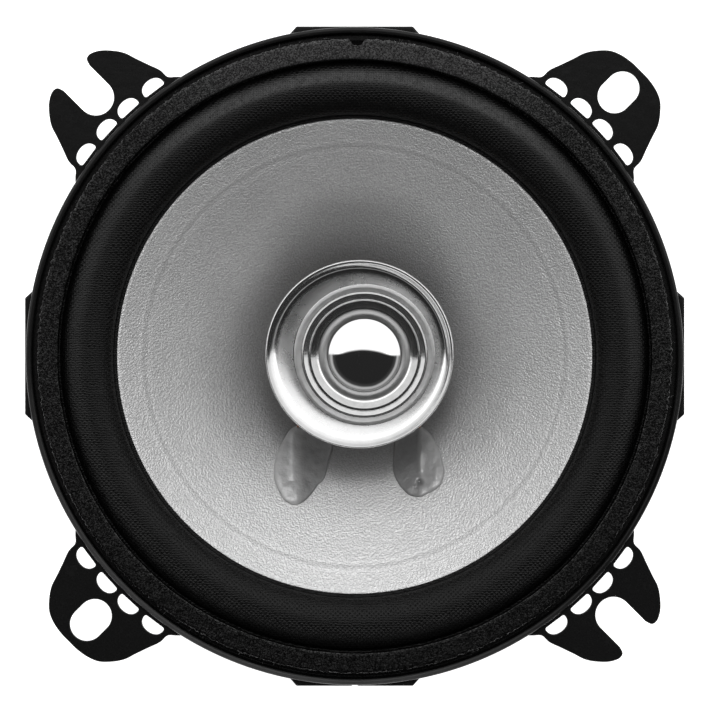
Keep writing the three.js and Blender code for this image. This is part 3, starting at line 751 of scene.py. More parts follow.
def sleeve():
    """The capacitor's shrunk sleeve."""
    colours = (0.012, 0.012, 0.022), (0.03, 0.03, 0.05)
    return clouded("shrunk_sleeve", (0.9, 3, 0.5, (0.4, 1, 1)), colours, (0.26, 0.42), [(None, 0.03)],
                   Specular_IOR_Level=0.5, Coat_Weight=0.25, Coat_Roughness=0.2)


def bare_tin():
    return clouded("tinned_wire", (2.0, 4), (0.5, 0.76), (0.2, 0.42), [(None, 0.02)], Metallic=1.0)


def jacket(name, dark, light):
    """Soft PVC insulation."""
    return clouded(name, (1.1, 4), (dark, light), (0.34, 0.52), [((6.0, 2), 0.012)], Specular_IOR_Level=0.5)


# --- camera, light and floor ---

CAMERA_PLACE = (0.00082, -0.0006, 0.642)
LENS = 194.07
KEY = {"polar": 19.5, "azimuth": 88.0, "spread": 13.0, "strength": 0.7}
FILL = {"polar": 40.0, "azimuth": 268.0, "spread": 22.0, "strength": 0.9}
SHEEN = {"polar": 19.5, "azimuth": 88.0, "spread": 13.0, "strength": 2.9}
PANEL_TURN_DEG = 1.0
PANEL_CURVE = 0.35
PANEL_EDGE = (0.10, 0.17)
PANEL_STRENGTH = 1.35
PANEL_RAMP = [(0.0, 0.5), (0.3, 0.7), (0.6, 0.9), (0.75, 1.4), (0.88, 1.0), (1.0, 0.9)]
ROOM_RAMP = [(0.0, 0.03), (0.42, 0.03), (0.52, 0.2), (0.58, 0.5), (0.63, 0.05), (0.7, 0.02), (1.0, 0.02)]


def add_camera():
    data = bpy.data.cameras.new("camera")
    data.sensor_width = 36
    data.lens = LENS
    data.clip_start = 0.01
    data.clip_end = 20
    camera = linked("camera", data)
    camera.location = CAMERA_PLACE
    bpy.context.scene.camera = camera


def towards(polar, azimuth):
    """Unit vector at an angle from straight up, on a bearing counted from +X."""
    polar, azimuth = math.radians(polar), math.radians(azimuth)
    level = math.sin(polar)
    return Vector((level * math.cos(azimuth), level * math.sin(azimuth), math.cos(polar)))


def add_lamp(name, values):
    """A distant round light."""
    data = bpy.data.lights.new(name, "SUN")
    data.energy = values["strength"]
    data.angle = math.radians(values["spread"])
    lamp = linked(name, data)
    lamp.rotation_euler = towards(values["polar"], values["azimuth"]).to_track_quat("Z", "Y").to_euler()
    return lamp


def add_light(painted):
    """Key and fill lamps, and a lamp whose sheen shows on the painted pieces only."""
    add_lamp("key", KEY).visible_glossy = False
    add_lamp("fill", FILL).visible_glossy = False
    sheen = add_lamp("sheen", SHEEN)
    sheen.visible_diffuse = False
    group = bpy.data.collections.new("sheen_receivers")
    for piece in painted:
        group.objects.link(piece)
    sheen.light_linking.receiver_collection = group


def brightness(sky, stops):
    """Brightness by height, eased between (height, brightness) stops."""
    node = sky.add("ShaderNodeValToRGB", [sky.z])
    node.color_ramp.interpolation = "EASE"
    elements = node.color_ramp.elements
    while len(elements) < len(stops):
        elements.new(0.5)
    for element, (position, value) in zip(elements, stops):
        element.position = position
        element.color = grey(value)
    return Field(sky, node.outputs[0])


def add_world():
    """A wide bright panel towards +Y, in a dim room. Behind the object the camera sees plain white."""
    world = bpy.data.worlds.new("studio")
    bpy.context.scene.world = world
    world.use_nodes = True
    sky = Nodes(world.node_tree, "Generated", 1.0)
    turn = math.radians(PANEL_TURN_DEG)
    up = sky.y * math.cos(turn) + sky.x * math.sin(turn)
    across = up + sky.x * sky.x * (sky.z * PANEL_CURVE)
    panel = brightness(sky, PANEL_RAMP) * PANEL_STRENGTH
    lit = sky.mix(across.smooth(*PANEL_EDGE), brightness(sky, ROOM_RAMP), panel)
    seen = sky.field("ShaderNodeLightPath", (), "Is Camera Ray")
    sky.put(sky.tree.nodes["Background"].inputs["Color"], sky.mix(seen, lit, grey(1.0)))


def add_floor():
    """A white floor, bright enough that nothing casts a visible shadow on it."""
    half, low = 3000.0, -0.1
    corners = [(-half, -half, low), (half, -half, low), (half, half, low), (-half, half, low)]
    mesh = mesh_of(corners, [[0, 1, 2, 3]])
    s = Surface("white_floor", Roughness=0.9, Emission_Strength=0.78, Emission_Color=grey(1.0))
    s.colour(s.noise(0.002, 2), 0.88, 0.92)
    mesh.materials.append(s.material)
    linked("floor", mesh)


# --- basket and gasket ---

EAR_FLANK = [
    (11.5, 49.6), (11.0, 50.1), (10.1, 51.0), (10.0, 52.5), (9.3, 54.5), (8.6, 56.5), (8.0, 58.3),
    (7.0, 59.8), (5.5, 61.3), (4.0, 62.0),
]
SLOTTED_TIP = [(2.0, 62.4), (0.0, 62.45)]
HOOK_TIP = [(3.2, 61.8), (2.8, 60.8)]
SLOT_CENTRE_R = 57.7
SLOT_R = 2.6
SLOT_REACH = 0.9
HOOK_R = 2.8
HOOK_END_R = 56.6
PORT_R = 51.35
PORT_WIDTH = 3.7
PORT_HEIGHT = 1.9
PORT_ANGLES = (-8.05, -2.57, 2.57, 8.05)
PAN_FOOT = (30.6, LEDGE_Z - SHEET)
PAN_BRIM = (BODY_R, 38.2)
RIB_BEARINGS = (0, 90, 180)
RIB_HEIGHT = 0.75
HAIR_COUNT = 620
HAIR_R = 0.032
HAIR_LIMIT_R = 49.45


def bezier(a, b, c, d, count):
    """Points on a cubic, without its last one."""
    t = (np.arange(count) / count)[:, None]
    a, b, c, d = (np.array(p, float) for p in (a, b, c, d))
    return (1 - t)**3 * a + 3 * t * (1 - t)**2 * b + 3 * t * t * (1 - t) * c + t**3 * d


def port_outline():
    half, top, corner = PORT_WIDTH / 2, PORT_HEIGHT, 0.4
    right = np.concatenate([
        bezier((half - corner, 0), (half - 0.13, 0), (half, 0.13), (half, corner), 5),
        bezier((half, corner), (half, 1.4), (1.0, top), (0, top), 12),
    ])
    return np.concatenate([right, [(0, top)], (right * (-1, 1))[::-1]]) + (0, PORT_R)


def ear_outlines(is_hook):
    """An ear's edge and its holes, pointing to +Y."""
    if is_hook:
        flank = smooth_curve(EAR_FLANK + HOOK_TIP, 60)
        notch = circle(HOOK_R, 33, (0, HOOK_END_R), start=0, sweep=-math.pi)
        edge = np.concatenate([flank, notch, (flank * (-1, 1))[::-1]])
        holes = []
    else:
        half = EAR_FLANK + SLOTTED_TIP
        other = [(-x, y) for x, y in half[:-1]][::-1]
        edge = smooth_curve(half + other, 130)
        upper = circle(SLOT_R, 25, (0, SLOT_CENTRE_R + SLOT_REACH), 0, math.pi)
        lower = circle(SLOT_R, 25, (0, SLOT_CENTRE_R - SLOT_REACH), math.pi, math.pi)
        holes = [np.concatenate([upper, lower])]
    holes += [turned_about(port_outline(), degrees) for degrees in PORT_ANGLES]
    return [edge, *holes]


def window_outline(inner, outer, half_angle, fillet):
    """A ring sector with rounded corners, centred on +X."""
    turn, inner_turn = half_angle - fillet / outer, half_angle - fillet / inner
    outer_arc = circle(outer, 25, (0, 0), -turn, 2 * turn)
    inner_arc = circle(inner, 21, (0, 0), inner_turn, -2 * inner_turn)
    side = np.array([math.cos(half_angle), math.sin(half_angle)])
    far, near = (outer - fillet) * side, (inner + fillet) * side

    def corner(start, tip, end):
        return bezier(start, (start + 2 * tip) / 3, (end + 2 * tip) / 3, end, 8)[1:]

    upper = np.concatenate([
        corner(outer_arc[-1], outer * side, far), [far, near], corner(near, inner * side, inner_arc[0]),
    ])
    return np.concatenate([outer_arc, upper, inner_arc, (upper * (1, -1))[::-1]])


def basket_body():
    """The drawn pan with its rolled lip, and a pressed rib down each spoke but the terminals' one."""
    outline = rounded([
        (12.5, SEAT_Z, 0.15), (25.5, SEAT_Z, 1.4), (25.5, LEDGE_Z - SHEET, 0.5), (*PAN_FOOT, 2.2),
        (*PAN_BRIM, 3.0), (BODY_R, FLANGE_Z, 0.6), (FLANGE_R, FLANGE_Z, 0.3),
        (FLANGE_R, FLANGE_TOP_Z + 0.03, 0), (FLANGE_R, FLANGE_TOP_Z + 0.1, 0), (FLANGE_R, LIP_TOP_Z, 0.48),
        (FLANGE_R - SHEET, LIP_TOP_Z, 0.48), (FLANGE_R - SHEET, FLANGE_TOP_Z, 0.35),
        (BODY_R - SHEET, FLANGE_TOP_Z, 1.0), (BODY_R - SHEET, 38.9, 2.4), (29.9, LEDGE_Z, 1.6),
        (24.5, LEDGE_Z, 1.3), (24.5, SEAT_Z + SHEET, 0.5), (12.5, SEAT_Z + SHEET, 0.15),
    ], 0.2, 6)
    points, faces = lathe(finer(outline, 1.2), 400)
    radius = away(points)
    angle = np.arctan2(points[:, 1], points[:, 0])
    rib = np.zeros(len(points))
    for degrees in RIB_BEARINGS:
        off = np.abs((angle - math.radians(degrees) + math.pi) % TAU - math.pi) * radius
        rib = np.maximum(rib, 1 - smoothstep(off, 1.2, 3.0))
    rib *= smoothstep(radius, 32.0, 34.5) * (1 - smoothstep(radius, 41.5, 44.5))
    rib *= points[:, 2] < 40
    slope = math.atan2(PAN_BRIM[1] - PAN_FOOT[1], PAN_BRIM[0] - PAN_FOOT[0])
    out, down = math.sin(slope), math.cos(slope)
    proud = np.stack([out * np.cos(angle), out * np.sin(angle), 0 * angle - down], -1)
    points += RIB_HEIGHT * rib[:, None] * proud
    return mesh_of(points, faces)


def add_basket():
    flat = [(47, -10), (49.9, -10), (51, -9), (51, 9), (49.9, 10), (47, 10)]
    flat = rounded(flat, 0.35, 4, turned=False)
    opening = window_outline(31.6, 44.2, math.radians(30), 3.0)
    steps = []
    for i, degrees in enumerate(EAR_ANGLES):
        steps.append(("DIFFERENCE", plate([turned_about(opening, degrees)], LEDGE_Z - 4, 39.5, 0.01)))
        steps.append(("UNION", plate([turned_about(flat, degrees + 45)], FLANGE_Z, FLANGE_TOP_Z, 0.3)))
        outlines = [turned_about(line, degrees - 90) for line in ear_outlines(i % 2 == 1)]
        steps.append(("UNION", plate(outlines, FLANGE_Z, FLANGE_TOP_Z, 0.12)))
    tab = rounded([(-4.5, -38.5, 0.8), (4.5, -38.5, 0.8), (4.5, -27.5), (-4.5, -27.5)], 0.01, 5, False)
    steps.append(("UNION", plate([tab], LEDGE_Z - SHEET, LEDGE_Z, 0.12)))
    nick = circle(0.45, 24, (0, -51.0))
    steps.append(("DIFFERENCE", plate([nick], FLANGE_Z - 1, FLANGE_TOP_Z + 0.4, 0.01)))
    mesh = carved(basket_body(), *steps)
    piece = finished("basket_pressing", mesh, black_steel(), ["basket"], sharp=40)
    flat_shaded_planes(piece, FLANGE_R)


def add_gasket():
    """A needled felt ring with soft arrises, a torn outer edge, a notch, and loose fibres along it."""
    material = felt()
    outline = rounded([
        (45.7, GASKET_LOW_Z, 0.1), (48.95, GASKET_LOW_Z, 0.1), (48.9, GASKET_HIGH_Z, 0.15),
        (45.75, GASKET_HIGH_Z, 0.12),
    ], 0.1, 4)
    points, faces = lathe(finer(outline, 0.42), 1200)
    radius = away(points)
    share = smoothstep(radius, 47.75, 48.85)
    inner = 1 - smoothstep(radius, 45.8, 46.4)
    lifted = smoothstep(points[:, 2], GASKET_LOW_Z, GASKET_LOW_Z + 1.2)
    ragged = 0.22 * rough(points, 1.7, 3.0) + 0.17 * rough(points, 4.1, 8.0)
    wavy = 0.10 * rough(points, 0.55, 5.0)
    radius_new = radius + share * (ragged - 0.12) + inner * 0.6 * wavy
    points[:, :2] *= (radius_new / radius)[:, None]
    points[:, 2] += lifted * (0.012 * rough(points, 0.4, 1.0) + 0.01 * rough(points, 2.6, 6.0) - 0.03)
    notch = [(-1.8, 49.85), (-0.17, 47.85), (0.93, 47.85), (2.55, 49.85)]
    cutter = plate([rounded(notch, 0.15, 4, False)], GASKET_LOW_Z - 0.4, GASKET_HIGH_Z + 1, 0.01)
    mesh = carved(mesh_of(points, faces), ("DIFFERENCE", cutter))
    finished("gasket_felt", mesh, material, ["gasket"], sharp=60)

    rng = np.random.default_rng(17)
    section = circle(HAIR_R, 4)
    hairs = []
    for _ in range(HAIR_COUNT):
        angle = rng.uniform(0, TAU)
        start = rng.uniform(46.3, 49.0)
        if start > 47.8 and abs(angle - math.pi / 2) < 0.05:
            continue
        heading = angle + rng.uniform(-1.4, 1.4)
        length = rng.uniform(0.4, 1.1)
        bend = rng.uniform(-0.5, 0.5)
        base = (start * math.cos(angle), start * math.sin(angle), GASKET_HIGH_Z - 0.1)
        share = np.arange(5) / 4
        turn = heading + bend * share
        reach = length * share
        arch = 0.1 * np.sin(math.pi * share)
        path = np.stack([reach * np.cos(turn), reach * np.sin(turn), arch], -1) + base
        if away(path).max() < HAIR_LIMIT_R:
            hairs.append(swept(path, section))
    finished("gasket_fibres", mesh_of(*merged(hairs)), material, sharp=80)


# --- motor ---

def domed(head, height, base, count):
    """The outline of a rivet's domed head, without its topmost point."""
    return roll(0, head, height, base, 2 * count - 1)[:count - 1:-1]


def add_motor():
    plated = zinc("zinc_plated_steel")
    yoke = rounded([
        (8.2, 0.0, 0.3), (PLATE_R, 0.0, 0.9), (PLATE_R, 4.0, 0.5), (9.7, 4.0, 0.5), (9.7, 17.2, 0.4),
        (4.1, 17.2, 0.4), (4.1, 5.8, 0.2), (8.2, 5.8, 0.3),
    ], 0.3, 6)
    groove = rounded([(-1.6, -28), (1.6, -28), (1.6, -7.7), (-1.6, -7.7)], 0.01, 2, False)
    mesh = carved(mesh_of(*lathe(yoke, 256)), ("DIFFERENCE", plate([groove], -1, 2.2, 0.01)))
    flat_shaded_planes(finished("yoke_and_pole", mesh, plated, ["yoke"]))

    magnet = rounded([
        (15, 4.05, 0.7), (MAGNET_R, 4.05, 0.8), (MAGNET_R, 12.95, 0.8), (15, 12.95, 0.7),
    ], 0.7, 3)
    points, faces = lathe(finer(magnet, 1.1), 220)
    chips = np.clip(rough(points, 0.5, 4.0) - 0.25, 0, 1) * 0.35
    edge = smoothstep(away(points), MAGNET_R - 1.0, MAGNET_R - 0.1)
    corner = smoothstep(np.abs(points[:, 2] - 8.5), 3.3, 4.2)
    points[:, :2] *= (1 - 0.02 * chips * edge * corner)[:, None]
    finished("magnet_ferrite", mesh_of(points, faces), ferrite(), ["magnet_ring"])

    top = rounded([(11.15, 13.0), (PLATE_R, 13.0), (PLATE_R, 17.0), (11.15, 17.0)], 0.35, 4)
    lathed("top_plate_steel", top, 256, plated, "top_plate")

    rivet = [(0, 14.7), (1.35, 14.7), (1.35, 18.1), (2.25, 18.1), *domed(2.3, 0.88, 18.12, 9), (0.75, 19.0),
             (0.6, 18.75), (0, 18.7)]
    for i, degrees in enumerate(EAR_ANGLES):
        angle = math.radians(degrees)
        centre = (19 * math.cos(angle), 19 * math.sin(angle))
        name = f"motor_rivet_{i + 1}"
        lathed(f"{name}_head", rivet, 48, plated, name, centre)


# --- moving system ---

def add_cone():
    radius = np.linspace(CONE_NECK[0], CONE_EDGE[0], 74)
    crease = -0.07 * np.exp(-((radius - 32.4) / 0.22)**2) + 0.05 * np.exp(-((radius - 32.9) / 0.3)**2)
    front = np.stack([radius, cone_height(radius) + crease], -1)
    rim = [(36.8, 42.0), (37.5, 42.0), (CONE_RIM_R - 0.15, 41.98), (CONE_RIM_R, 41.7)]
    back = front[::-3] - (0, CONE_THICKNESS)
    back_rim = [(CONE_RIM_R, 41.55), (CONE_RIM_R - 0.15, 41.4), (37.2, 41.4)]
    outline = np.concatenate([front, rim, back_rim, back])
    points, faces = lathe(outline, 360)
    points[:, 2] += 0.018 * rough(points, 0.35, 2.0) * (away(points) < 36)
    mesh = mesh_of(points, faces)
    piece = finished("cone_shell", mesh, cone_paint(), ["cone"], "cone_assembly", sharp=50)
    mesh.materials.append(bare_pulp())
    for face in mesh.polygons:
        face.material_index = int(face.normal.z < -0.2)
    return piece


def add_surround():
    middle = (ROLL_INNER_R + ROLL_OUTER_R) / 2
    half = (ROLL_OUTER_R - ROLL_INNER_R) / 2
    crown = roll(middle, half, ROLL_HEIGHT, LAND_Z, 37)
    low = LAND_Z - CLOTH
    under = roll(middle, half - 0.32, ROLL_HEIGHT - 0.02, low, 37)[::-1]
    outline = [(SURROUND_INNER_R, LAND_Z, 0.12), (ROLL_INNER_R - 0.02, LAND_Z, 0.3), *crown[1:-1],
               (ROLL_OUTER_R + 0.02, LAND_Z, 0.3), (SURROUND_OUTER_R, LAND_Z, 0.12),
               (SURROUND_OUTER_R, low, 0.12), *under, (SURROUND_INNER_R, low, 0.12)]
    outline = rounded([tuple(point) if len(point) > 2 else (point[0], point[1], 0) for point in outline], 0)
    points, faces = lathe(outline, 540)
    crest = smoothstep(points[:, 2], LAND_Z + 0.4, LAND_Z + 2.0)
    points[:, 2] += crest * (0.05 * rough(points, 0.28, 9.0) + 0.02 * rough(points, 1.3, 4.0) - 0.05)
    mesh = mesh_of(points, faces)
    piece = finished("surround_cloth", mesh, surround_cloth(), ["surround"], None, sharp=70)
    bending(piece,
            lambda found: 1 - smoothstep(away(found), ROLL_INNER_R + 0.9, ROLL_OUTER_R - 0.3))


def add_spider():
    radius = np.linspace(10.3, 28.8, 150)
    inside = (radius > 11.5) & (radius < 24.5)
    wave = np.where(inside, SPIDER_WAVE * np.cos(math.pi * (radius - 12.8) / SPIDER_PITCH), 0)
    middle = LEDGE_Z + 0.25 + wave
    face = np.stack([radius, middle + SPIDER_HALF_THICKNESS], -1)
    back = np.stack([radius, middle - SPIDER_HALF_THICKNESS], -1)[::-1]
    outline = np.concatenate([face, back])
    piece = lathed("spider_cloth", outline, 240, spider_cloth(), "spider", body=None,
                   sharp=60)
    bending(piece, lambda found: 1 - smoothstep(away(found), 11.6, 24.3))


def wound(inner, outer, wire, low, turns, pitch, steps, spread, foot=0.0):
    """The outline of one layer of wire round a former: a bulge for each turn, and a foot below."""
    bulges = [circle(wire, steps, (outer, low + (i + 0.5) * pitch), -spread, 2 * spread)
              for i in range(turns)]
    return np.concatenate([[(inner, low - foot)], *bulges, [(inner, low + turns * pitch)]])


def add_coil():
    film = rounded([(10.0, 8.5), (10.2, 8.5), (10.2, 30.4), (10.0, 30.4)], 0.06, 3)
    lathed("coil_former_film", film, 160, coil_film(), "coil_former", body="cone_assembly")
    outline = wound(10.22, 10.6, 0.12, 11.02, 32, 0.25, 5, 1.3, 0.02)
    lathed("coil_winding_wire", outline, 128, enamelled_copper(), "coil_winding",
           body="cone_assembly")


GLUE_OUTLINES = {
    "left": [
        (-10.2, -11.6), (-11.5, -13.8), (-12.2, -15.2), (-12.5, -16.4), (-12.7, -17.8), (-12.6, -19.0),
        (-12.3, -20.1), (-11.7, -21.3), (-11.1, -22.3), (-10.3, -22.9), (-9.4, -23.2), (-8.5, -23.0),
        (-7.5, -22.3), (-6.5, -21.2), (-5.7, -20.1), (-5.0, -19.5), (-4.4, -18.1), (-4.1, -16.4),
        (-3.5, -14.3), (-3.7, -12.4), (-4.6, -11.2), (-6.8, -10.9), (-8.9, -10.9),
    ],
    "right": [
        (6.5, -11.9), (6.2, -13.6), (6.1, -15.2), (6.0, -16.6), (6.0, -17.9), (6.3, -18.9), (6.8, -19.9),
        (7.6, -20.9), (8.4, -21.6), (9.4, -21.9), (10.3, -21.9), (11.4, -21.4), (12.4, -20.9),
        (13.4, -20.1), (13.8, -19.1), (14.0, -17.9), (13.8, -16.7), (13.5, -15.4), (12.8, -13.8),
        (11.7, -12.0), (10.0, -10.9), (7.8, -10.9),
    ],
}


def band(x, y, line_x, y_low, y_high, width):
    """A ridge that runs along Y at line_x."""
    across = np.exp(-((x - line_x) / width)**2)
    begun, ended = (smoothstep(y, end - 0.5, end + 0.5) for end in (y_low, y_high))
    return across * begun * (1 - ended)


def glue_shape(side, x, y):
    """Extra height of a dab and its painted light and shade, at each point."""
    # The tone is painted light and shade: lighter on each dab's raised outer side, outside the tweeter's
    # shadow, and along its ridges; darker in the shadow and in the right dab's dent.
    if side == "left":
        thick_and_lit = smoothstep(-x, 7.6, 9.2)
        ridge = band(x, y, -9.7, -18.9, -12.0, 0.5)
        lift = 0.22 * thick_and_lit + 0.22 * ridge + 0.08 * np.sin(0.9 * x + 0.5 * y)
        tone = 0.2 + 0.45 * thick_and_lit + 0.4 * ridge
    else:
        thick_and_lit = smoothstep(x, 9.6, 10.6)
        ridge = band(x, y, 10.35, -17.9, -15.0, 0.3) + 0.7 * band(x, y, 12.7, -19.3, -17.3, 0.4)
        dent_and_shade = np.exp(-(((x - 10.22)**2 + (y + 19.63)**2) / 0.22))
        lift = 0.18 * thick_and_lit + 0.28 * ridge - 0.55 * dent_and_shade + 0.07 * np.sin(1.1 * x - 0.6 * y)
        tone = 0.12 + 0.45 * thick_and_lit + 0.45 * ridge - 0.5 * dent_and_shade
    return lift, np.clip(tone, 0, 1)


def add_glue(side, material):
    """A dab of glue over a coil lead: it swells from a steep edge and keeps the lead's line on top."""
    around, rings = 200, 46
    edge = smooth_curve(GLUE_OUTLINES[side], around, closed=True)
    centre = edge.mean(axis=0)
    share = np.sin(np.linspace(0, math.pi / 2, rings))
    plan = centre + (edge - centre)[None] * share[:, None, None]
    x, y = plan[..., 0].ravel(), plan[..., 1].ravel()
    ground = cone_height(np.hypot(x, y))
    swell = np.repeat(np.sqrt(np.clip(1 - share**5, 0, 1)), around)
    extra, _ = glue_shape(side, x, y)
    wobble = 0.10 * rough(np.stack([x, y, 0 * x], -1), 0.8, 2.0)
    height = np.clip(0.62 + extra + wobble, 0.08, 1.15) * swell
    top = np.stack([x, y, ground + height + 0.02], -1)
    under = np.stack([x, y, ground - 0.12], -1).reshape(rings, around, 3)[::-1].reshape(-1, 3)
    points = np.concatenate([top, under])
    mesh = mesh_of(points, grid_faces(2 * rings, around, False))
    found = points_of(mesh)
    # The tone attribute carries the dab's painted light and shade.
    _, tone = glue_shape(side, found[:, 0], found[:, 1])
    mesh.attributes.new("tone", "FLOAT", "POINT").data.foreach_set("value", tone.astype(np.float32))
    return finished(f"glue_{side}", mesh, material, [f"glue_dab_{side}"], "cone_assembly", sharp=80)


def add_coil_lead(side, material):
    """The winding's bare end, laid over the neck of the cone and into the glue."""
    x, sign = LEAD_X[side], math.copysign(1, LEAD_X[side])
    plan = [(sign * 8.1, -7.3), (sign * 8.4, -9.2), (x, -11.1)]
    points = [(px, py, cone_height(math.hypot(px, py)) + 0.6) for px, py in plan]
    mesh = mesh_of(*swept(smooth_curve(points, 24), circle(0.22, 12)))
    finished(f"coil_lead_{side}_wire", mesh, material, [f"coil_lead_{side}"], "cone_assembly")


# --- tweeter ---

def add_dish():
    face = smooth_curve([
        (10.15, DISH_FLOOR_Z), (11.0, DISH_FLOOR_Z + 0.02), (11.6, DISH_FLOOR_Z + 0.06),
        (12.3, DISH_FLOOR_Z + 0.14), (12.8, DISH_FLOOR_Z + 0.24), (13.2, DISH_FLOOR_Z + 0.41),
        (13.6, DISH_FLOOR_Z + 0.72), (13.88, DISH_FLOOR_Z + 1.0), (14.03, DISH_LIP_Z - 0.1),
        (14.16, DISH_LIP_Z), (14.29, DISH_LIP_Z - 0.08), (14.38, DISH_LIP_Z - 0.33),
        (14.32, DISH_LIP_Z - 0.62), (14.12, DISH_LIP_Z - 0.78),
    ], 120)
    back = smooth_curve([
        (13.9, DISH_LIP_Z - 0.82), (13.5, DISH_FLOOR_Z + 0.32), (12.9, DISH_FLOOR_Z + 0.02),
        (12.2, DISH_FLOOR_Z - 0.25), (11.6, DISH_FLOOR_Z - 0.38), (11.0, DISH_FLOOR_Z - 0.4),
        (10.15, DISH_FLOOR_Z - 0.4),
    ], 30)
    points, faces = lathe(np.concatenate([face, back]), 256, HEAD)
    radius = away(points, HEAD)
    bearing = np.arctan2(points[:, 1] - HEAD[1], points[:, 0] - HEAD[0])
    draw = smoothstep(radius, 10.5, 13.1) * (1 - smoothstep(radius, 13.1, 14.1))
    points[:, 2] += 0.2 * draw * np.cos(bearing - math.radians(217))
    mesh = mesh_of(points, faces)
    finished("tweeter_dish_metal", mesh, dish_metal(), ["tweeter_dish"])


def add_face_ring():
    floor, throat = DISH_FLOOR_Z + 0.05, DIAPHRAGM_Z + 0.05
    outline = rounded([
        (9.25, floor + 0.02, 0.02), (10.8, floor + 0.02, 0.03), (10.76, floor + 0.17, 0.08),
        (10.3, floor + 0.19, 0.5), (9.56, floor + 0.12, 0.08), (9.4, floor + 0.43, 0.06),
        (9.26, floor + 0.43, 0.06), (8.6, floor - 0.03, 0.06), (8.46, floor - 0.03, 0.05),
        (8.3, floor + 0.2, 0.05), (8.18, floor + 0.2, 0.05), (7.28, floor - 0.56, 0.2),
        (7.0, floor - 0.64, 0.06), (7.02, throat, 0.03), (8.3, throat, 0.03), (9.25, throat + 0.4, 0.05),
    ], 0.1, 6)
    lathed("tweeter_face_ring_metal", outline, 256, ring_metal(), "tweeter_face_ring",
           CAPSULE, sharp=50)


def add_dome():
    ball = (DOME_R**2 + DOME_RISE**2) / (2 * DOME_RISE)
    half = math.asin(DOME_R / ball)
    base = DIAPHRAGM_Z - 0.15
    top = base + DOME_RISE - ball
    angle = np.linspace(0, half, 40)
    face = np.stack([ball * np.sin(angle), top + ball * np.cos(angle)], -1)
    inner = ball - FILM
    back = np.stack([inner * np.sin(angle), top + inner * np.cos(angle)], -1)[::-1]
    face[0, 0] = back[-1, 0] = 0
    outline = np.concatenate([face, back])
    lathed("tweeter_dome_film", outline, 192, mirror_film(), "tweeter_dome", CAPSULE,
           "tweeter_diaphragm")


def add_suspension():
    """The film's half-roll round the dome."""
    top = DIAPHRAGM_Z
    face = smooth_curve([
        (DOME_R + 0.06, top - 0.12), (5.76, top + 0.08), (5.98, top + 0.22), (6.25, top + 0.27),
        (6.52, top + 0.22), (6.76, top + 0.1), (6.95, top + 0.01), (7.3, top), (8.6, top),
    ], 40)
    back = (face - (0, FILM))[::-1]
    outline = np.concatenate([face, back])
    piece = lathed("tweeter_suspension_film", outline, 240, satin_film(),
                   "tweeter_suspension", CAPSULE, None)
    bending(piece,
            lambda found: 1 - smoothstep(away(found, CAPSULE), DOME_R + 0.1, 6.95))


def add_tweeter_inside():
    """What stands behind the tweeter's face: housing, post, nut and the small motor."""
    plastic = moulded_plastic()
    housing = rounded([
        (2.6, HOUSING_Z, 0.1), (9.4, HOUSING_Z, 0.9), (10.8, HOUSING_Z + 1.4, 0.9), (10.8, 48.2, 0.15),
        (10.0, 48.2, 0.15), (10.0, HOUSING_Z + 1.2, 0.5), (2.6, HOUSING_Z + 1.2, 0.1),
    ], 0.2, 5)
    lathed("tweeter_housing_shell", housing, 192, plastic, "tweeter_housing", HEAD)

    post = rounded([
        (2.0, 2.4, 0.1), (3.8, 2.4, 0.25), (3.8, 17.25, 0.1), (6.2, 17.25, 0.2), (6.2, 18.45, 0.4),
        (4.6, 19.85, 0.8), (4.6, POST_HEAD_Z - 3, 1.2), (8.0, POST_HEAD_Z - 1.2, 0.8),
        (8.0, POST_HEAD_Z, 0.2), (2.0, POST_HEAD_Z, 0.15),
    ], 0.2, 5)
    lathed("tweeter_post_moulding", post, 160, plastic, "tweeter_post")

    corner = 13 / math.sqrt(3)
    hexagon = circle(corner, 6)
    nut = plate([hexagon, circle(3.9, 64)], 2.6, 5.75, 0.05)
    shoulder = rounded([
        (0, 2.3), (6.5, 2.3), (corner + 0.4, 3.3), (corner + 0.4, 5.1), (6.5, 6.1), (0, 6.1),
    ], 0.1, 3)
    mesh = carved(nut, ("INTERSECT", mesh_of(*lathe(shoulder, 160))))
    plated = zinc("bright_zinc_nut", 0.62, 0.46)
    flat_shaded_planes(finished("post_nut_hex", mesh, plated, ["post_nut"], sharp=25))

    yoke = rounded([
        (0, 40.95), (8.6, 40.95, 0.5), (8.6, 47.75, 0.1), (5.85, 47.75, 0.1), (5.85, 44.8, 0.1),
        (6.6, 43.8, 0.1), (6.6, 42.35, 0.2), (0, 42.35),
    ], 0.2, 4)
    lathed("tweeter_yoke_cup", yoke, 128, plated, "tweeter_yoke", CAPSULE)
    magnet = rounded([(0, 42.4), (4.6, 42.4), (4.6, 44.1), (0, 44.1)], 0.25, 3)
    lathed("tweeter_magnet_disc", magnet, 96, ferrite(), "tweeter_magnet", CAPSULE)
    pole = rounded([(0, 44.15), (4.85, 44.15), (4.85, 45.8), (0, 45.8)], 0.2, 3)
    lathed("tweeter_pole_cap", pole, 96, plated, "tweeter_pole_plate", CAPSULE)
    outline = wound(5.16, 5.42, 0.08, 45.0, 16, 0.16, 3, 1.2)
    lathed("tweeter_coil_wire", outline, 96, enamelled_copper(), "tweeter_coil", CAPSULE,
           "tweeter_diaphragm")


# --- terminals and wiring ---

def rivet_outline(shank, head, low, high, height):
    return [(0, low), (shank, low), (shank, high - 0.02), (head - 0.04, high - 0.02),
            *domed(head, height, high, 8), (0.3 * head, high + height), (0, high + height - 0.15)]


